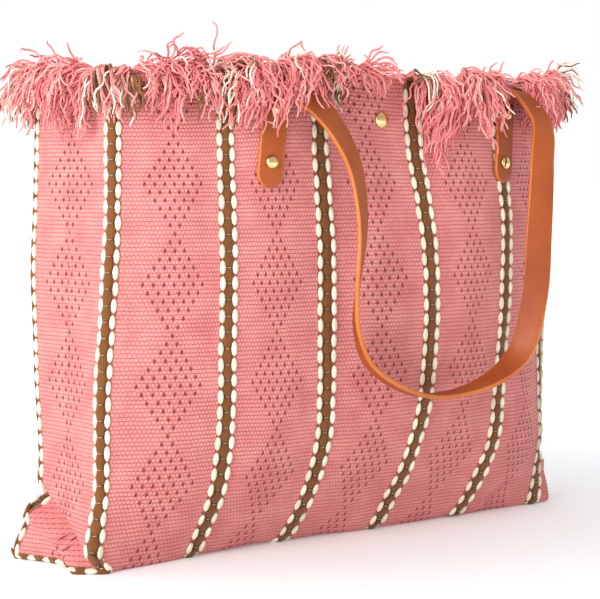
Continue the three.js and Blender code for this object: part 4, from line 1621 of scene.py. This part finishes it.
class Hardware:
    """The rivets of both handles and the magnetic snap."""

    def __init__(self, trees: Trees, finishes: Finishes, fastening: Fastening) -> None:
        """Holds what the fastenings are made with."""
        self.trees = trees
        self.finishes = finishes
        self.fastening = fastening

    def rivets(self, face: str) -> list[bpy.types.Object]:
        """Makes the rivet heads of one face and the caps behind the lining."""
        turns = self.fastening.turns[face]
        places = np.array([turn.origin + turn.up * rise for turn in turns for rise in (0, turn.pitch)])
        outward = np.array([turn.out for turn in turns for _ in range(2)])
        along = np.array([turn.up for turn in turns for _ in range(2)])
        seat = 3.5
        head = [(0, -7.7), (1.5, -7.7), (1.5, seat), (4.2, seat), *domed(5.0, seat, 2.9, 0.4)]
        inner = [(0, -8.9), (3.2, -8.9), (4.0, -8.6), (4.4, -7.9), (4.4, -7.2), (4.1, -7.1), (1.8, -7.1),
                 (1.8, -8.1), (0, -8.1)]
        made = []
        for name, profile, nodes in ((f"{face}_rivet_heads", head, "rivet_cap"),
                                     (f"{face}_rivet_backs", inner, "rivet_inner_cap")):
            part = turned_part("part_shape", profile)
            seeds = new_piece("rivet_seeds", places, [])
            paint_points(seeds, "outward", "FLOAT_VECTOR", outward)
            paint_points(seeds, "along", "FLOAT_VECTOR", along)
            piece = self.trees.parts.grown(seeds, name, {"Finish": self.finishes.gold, "Part": part})
            bpy.data.objects.remove(part)
            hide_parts(*(f"{face}_{nodes}_{k}" for k in range(1, 5)))
            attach(piece, ROOT)
            made.append(piece)
        return made

    def snap_part(self, name: str, profile: Sequence[tuple[float, float]], face: str,
                  node: str, finish: bpy.types.Material) -> bpy.types.Object:
        """Makes one turned part of the snap in its place in the mouth."""
        part = turned_part(name, profile)
        low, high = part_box(f"{face}_snap_cap")
        out_y = -1.0 if face == "front" else 1.0
        outer = low.y if face == "front" else high.y
        surface = outer - out_y * 4.2 * MM
        points = corners(part)
        placed = np.stack([points[:, 0], surface + out_y * points[:, 2], (low.z + high.z) / 2 - out_y * points[:, 1]], 1)
        part.data.vertices.foreach_set("co", placed.astype(np.float32).ravel())
        mesh = bmesh.new()
        mesh.from_mesh(part.data)
        bmesh.ops.recalc_face_normals(mesh, faces=mesh.faces)
        mesh.to_mesh(part.data)
        mesh.free()
        finish_mesh(part, finish)
        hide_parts(node)
        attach(part, f"{face}_mouth")
        return part

    def snap(self) -> list[bpy.types.Object]:
        """Makes the snap: a cap on each face, a socket with its magnet and a stud."""
        cap = [(0, -6.5), (1.7, -6.5), (1.7, 1.0), (5.4, 1.0), *domed(6.4, 1.0, 3.2, 0.5)]
        body = -5.8
        socket = [(0, body - 1.6), (2.5, body - 1.6), (2.6, body - 2), (7.4, body - 2), (7.4, body - 3.8),
                  (7.6, body - 4), (8.3, body - 4), (8.5, body - 3.8), (8.5, body - 0.2), (8.3, body),
                  (2, body), (2, body - 1), (0, body - 1)]
        magnet = [(2.9, body - 2.3), (2.9, body - 3.7), (3.1, body - 3.9), (6.9, body - 3.9), (7.1, body - 3.7),
                  (7.1, body - 2.3), (2.9, body - 2.3)]
        stud = [(0, body - 3.6), (1.7, body - 3.6), (2.0, body - 3.4), (2.2, body - 2.5), (8.2, body - 2.5),
                (8.5, body - 2.3), (8.5, body - 0.2), (8.3, body), (2, body), (2, body - 1), (0, body - 1)]
        gold, steel = self.finishes.gold, self.finishes.steel
        return [
            self.snap_part("front_snap_head", cap, "front", "front_snap_cap", gold),
            self.snap_part("back_snap_head", cap, "back", "back_snap_cap", gold),
            self.snap_part("snap_socket_cup", socket, "front", "snap_socket", gold),
            self.snap_part("snap_magnet_ring", magnet, "front", "snap_magnet", steel),
            self.snap_part("snap_stud_plate", stud, "back", "snap_stud", gold),
        ]


# ---------------------------------------------------------------------------------------------
# Studio
# ---------------------------------------------------------------------------------------------
@dataclass
class Studio:
    """A white floor that glows as painted light, soft light from the left and the camera."""
    camera_place: tuple = (-0.93557, -1.12611, 0.28229)
    camera_yaw: float = 39.48
    camera_pitch: float = 4.01
    lens: float = 112.85
    floor_size: float = 60.0
    # painted light: the floor's own glow near the bag and far from it
    painted_floor_glow: tuple = (0.16, 0.75)
    glow_reach: tuple = (0.34, 1.1)

    def floor(self) -> None:
        """Lays the floor, which glows as painted light: dimly near the bag, so that a painted shade lies round it,
        and brightly further out.
        """
        half = self.floor_size / 2
        piece = new_piece("floor", np.array([(-half, -half, 0), (half, -half, 0), (half, half, 0), (-half, half, 0)]),
                          [(0, 1, 2, 3)])
        g = Graph("white_floor")
        g.shader.inputs["Emission Color"].default_value = (1.0, 1.0, 1.0, 1.0)
        length = g.node("ShaderNodeVectorMath", operation="LENGTH")
        g.link(g.object_place(), length.inputs[0])
        low, high = self.painted_floor_glow
        glow = Term(g.tree, length.outputs["Value"]).between(*self.glow_reach) * (high - low) + low
        g.link(glow, g.shader.inputs["Emission Strength"])
        # the floor's slightly cool colour is set to cancel the pink light that the bag bounces onto it
        finish_mesh(piece, g.finish(srgb(240, 244, 246), roughness=0.9, specular_ior_level=0.1))

    def world(self, ambient: float) -> None:
        """Lights the room evenly and keeps its backdrop white."""
        world = bpy.data.worlds.new("studio")
        world.use_nodes = True
        nodes, links = world.node_tree.nodes, world.node_tree.links
        shade = nodes["Background"]
        shade.inputs["Color"].default_value = (1.0, 0.99, 0.985, 1.0)
        shade.inputs["Strength"].default_value = ambient
        backdrop = nodes.new("ShaderNodeBackground")
        backdrop.inputs["Color"].default_value = (1.0, 1.0, 1.0, 1.0)
        path, mix = nodes.new("ShaderNodeLightPath"), nodes.new("ShaderNodeMixShader")
        links.new(path.outputs["Is Camera Ray"], mix.inputs[0])
        links.new(shade.outputs[0], mix.inputs[1])
        links.new(backdrop.outputs[0], mix.inputs[2])
        links.new(mix.outputs[0], nodes["World Output"].inputs["Surface"])
        bpy.context.scene.world = world

    def panel(self, name: str, place: tuple, size: float, power: float) -> None:
        """Hangs a square soft light that faces the bag."""
        light = bpy.data.lights.new(name, "AREA")
        light.shape = "SQUARE"
        light.size = size
        light.energy = power
        lamp = bpy.data.objects.new(name, light)
        lamp.location = place
        lamp.rotation_euler = (Vector((0, 0, 0.15)) - Vector(place)).to_track_quat("-Z", "Y").to_euler()
        bpy.context.scene.collection.objects.link(lamp)

    def camera(self) -> None:
        """Sets the camera up."""
        data = bpy.data.cameras.new("camera")
        data.sensor_width = 36.0
        data.lens = self.lens
        camera = bpy.data.objects.new("camera", data)
        camera.location = self.camera_place
        camera.rotation_euler = Euler((math.radians(90 - self.camera_pitch), 0, math.radians(-self.camera_yaw)))
        bpy.context.scene.collection.objects.link(camera)
        bpy.context.scene.camera = camera

    def build(self) -> None:
        """Sets the whole studio up."""
        self.camera()
        self.floor()
        self.world(0.70)
        self.panel("key", (-2.6, -0.75, 0.95), 1.4, 62)
        self.panel("top", (-0.6, 0.9, 2.6), 2.0, 20)
        bpy.context.scene.view_settings.view_transform = "Standard"


# ---------------------------------------------------------------------------------------------
def report(pieces: Iterable[bpy.types.Object]) -> None:
    """Logs the name and size of each piece."""
    for piece in pieces:
        LOG.info("%s: %d faces", piece.name, len(piece.data.polygons))


def main() -> None:
    """Builds the bag and its studio."""
    logging.basicConfig(level=logging.INFO, format="%(name)s %(message)s")
    Studio().build()
    finishes, trees = Finishes(), Trees()
    fastening = Fastening()
    body = Body(finishes)
    stitches, fringe = StripeStitches(trees, finishes), Fringe(trees, finishes)
    handle, hardware = Handle(trees, finishes), Hardware(trees, finishes, fastening)
    for face, half in body.halves.items():
        report([body.woven(face), body.lining(face), stitches.build(half)])
        report(fringe.build(half, fastening.turns[face]))
        report(handle.build(face, fastening.front))
        report(hardware.rivets(face))
    report(hardware.snap())


if __name__ == "__main__":
    main()
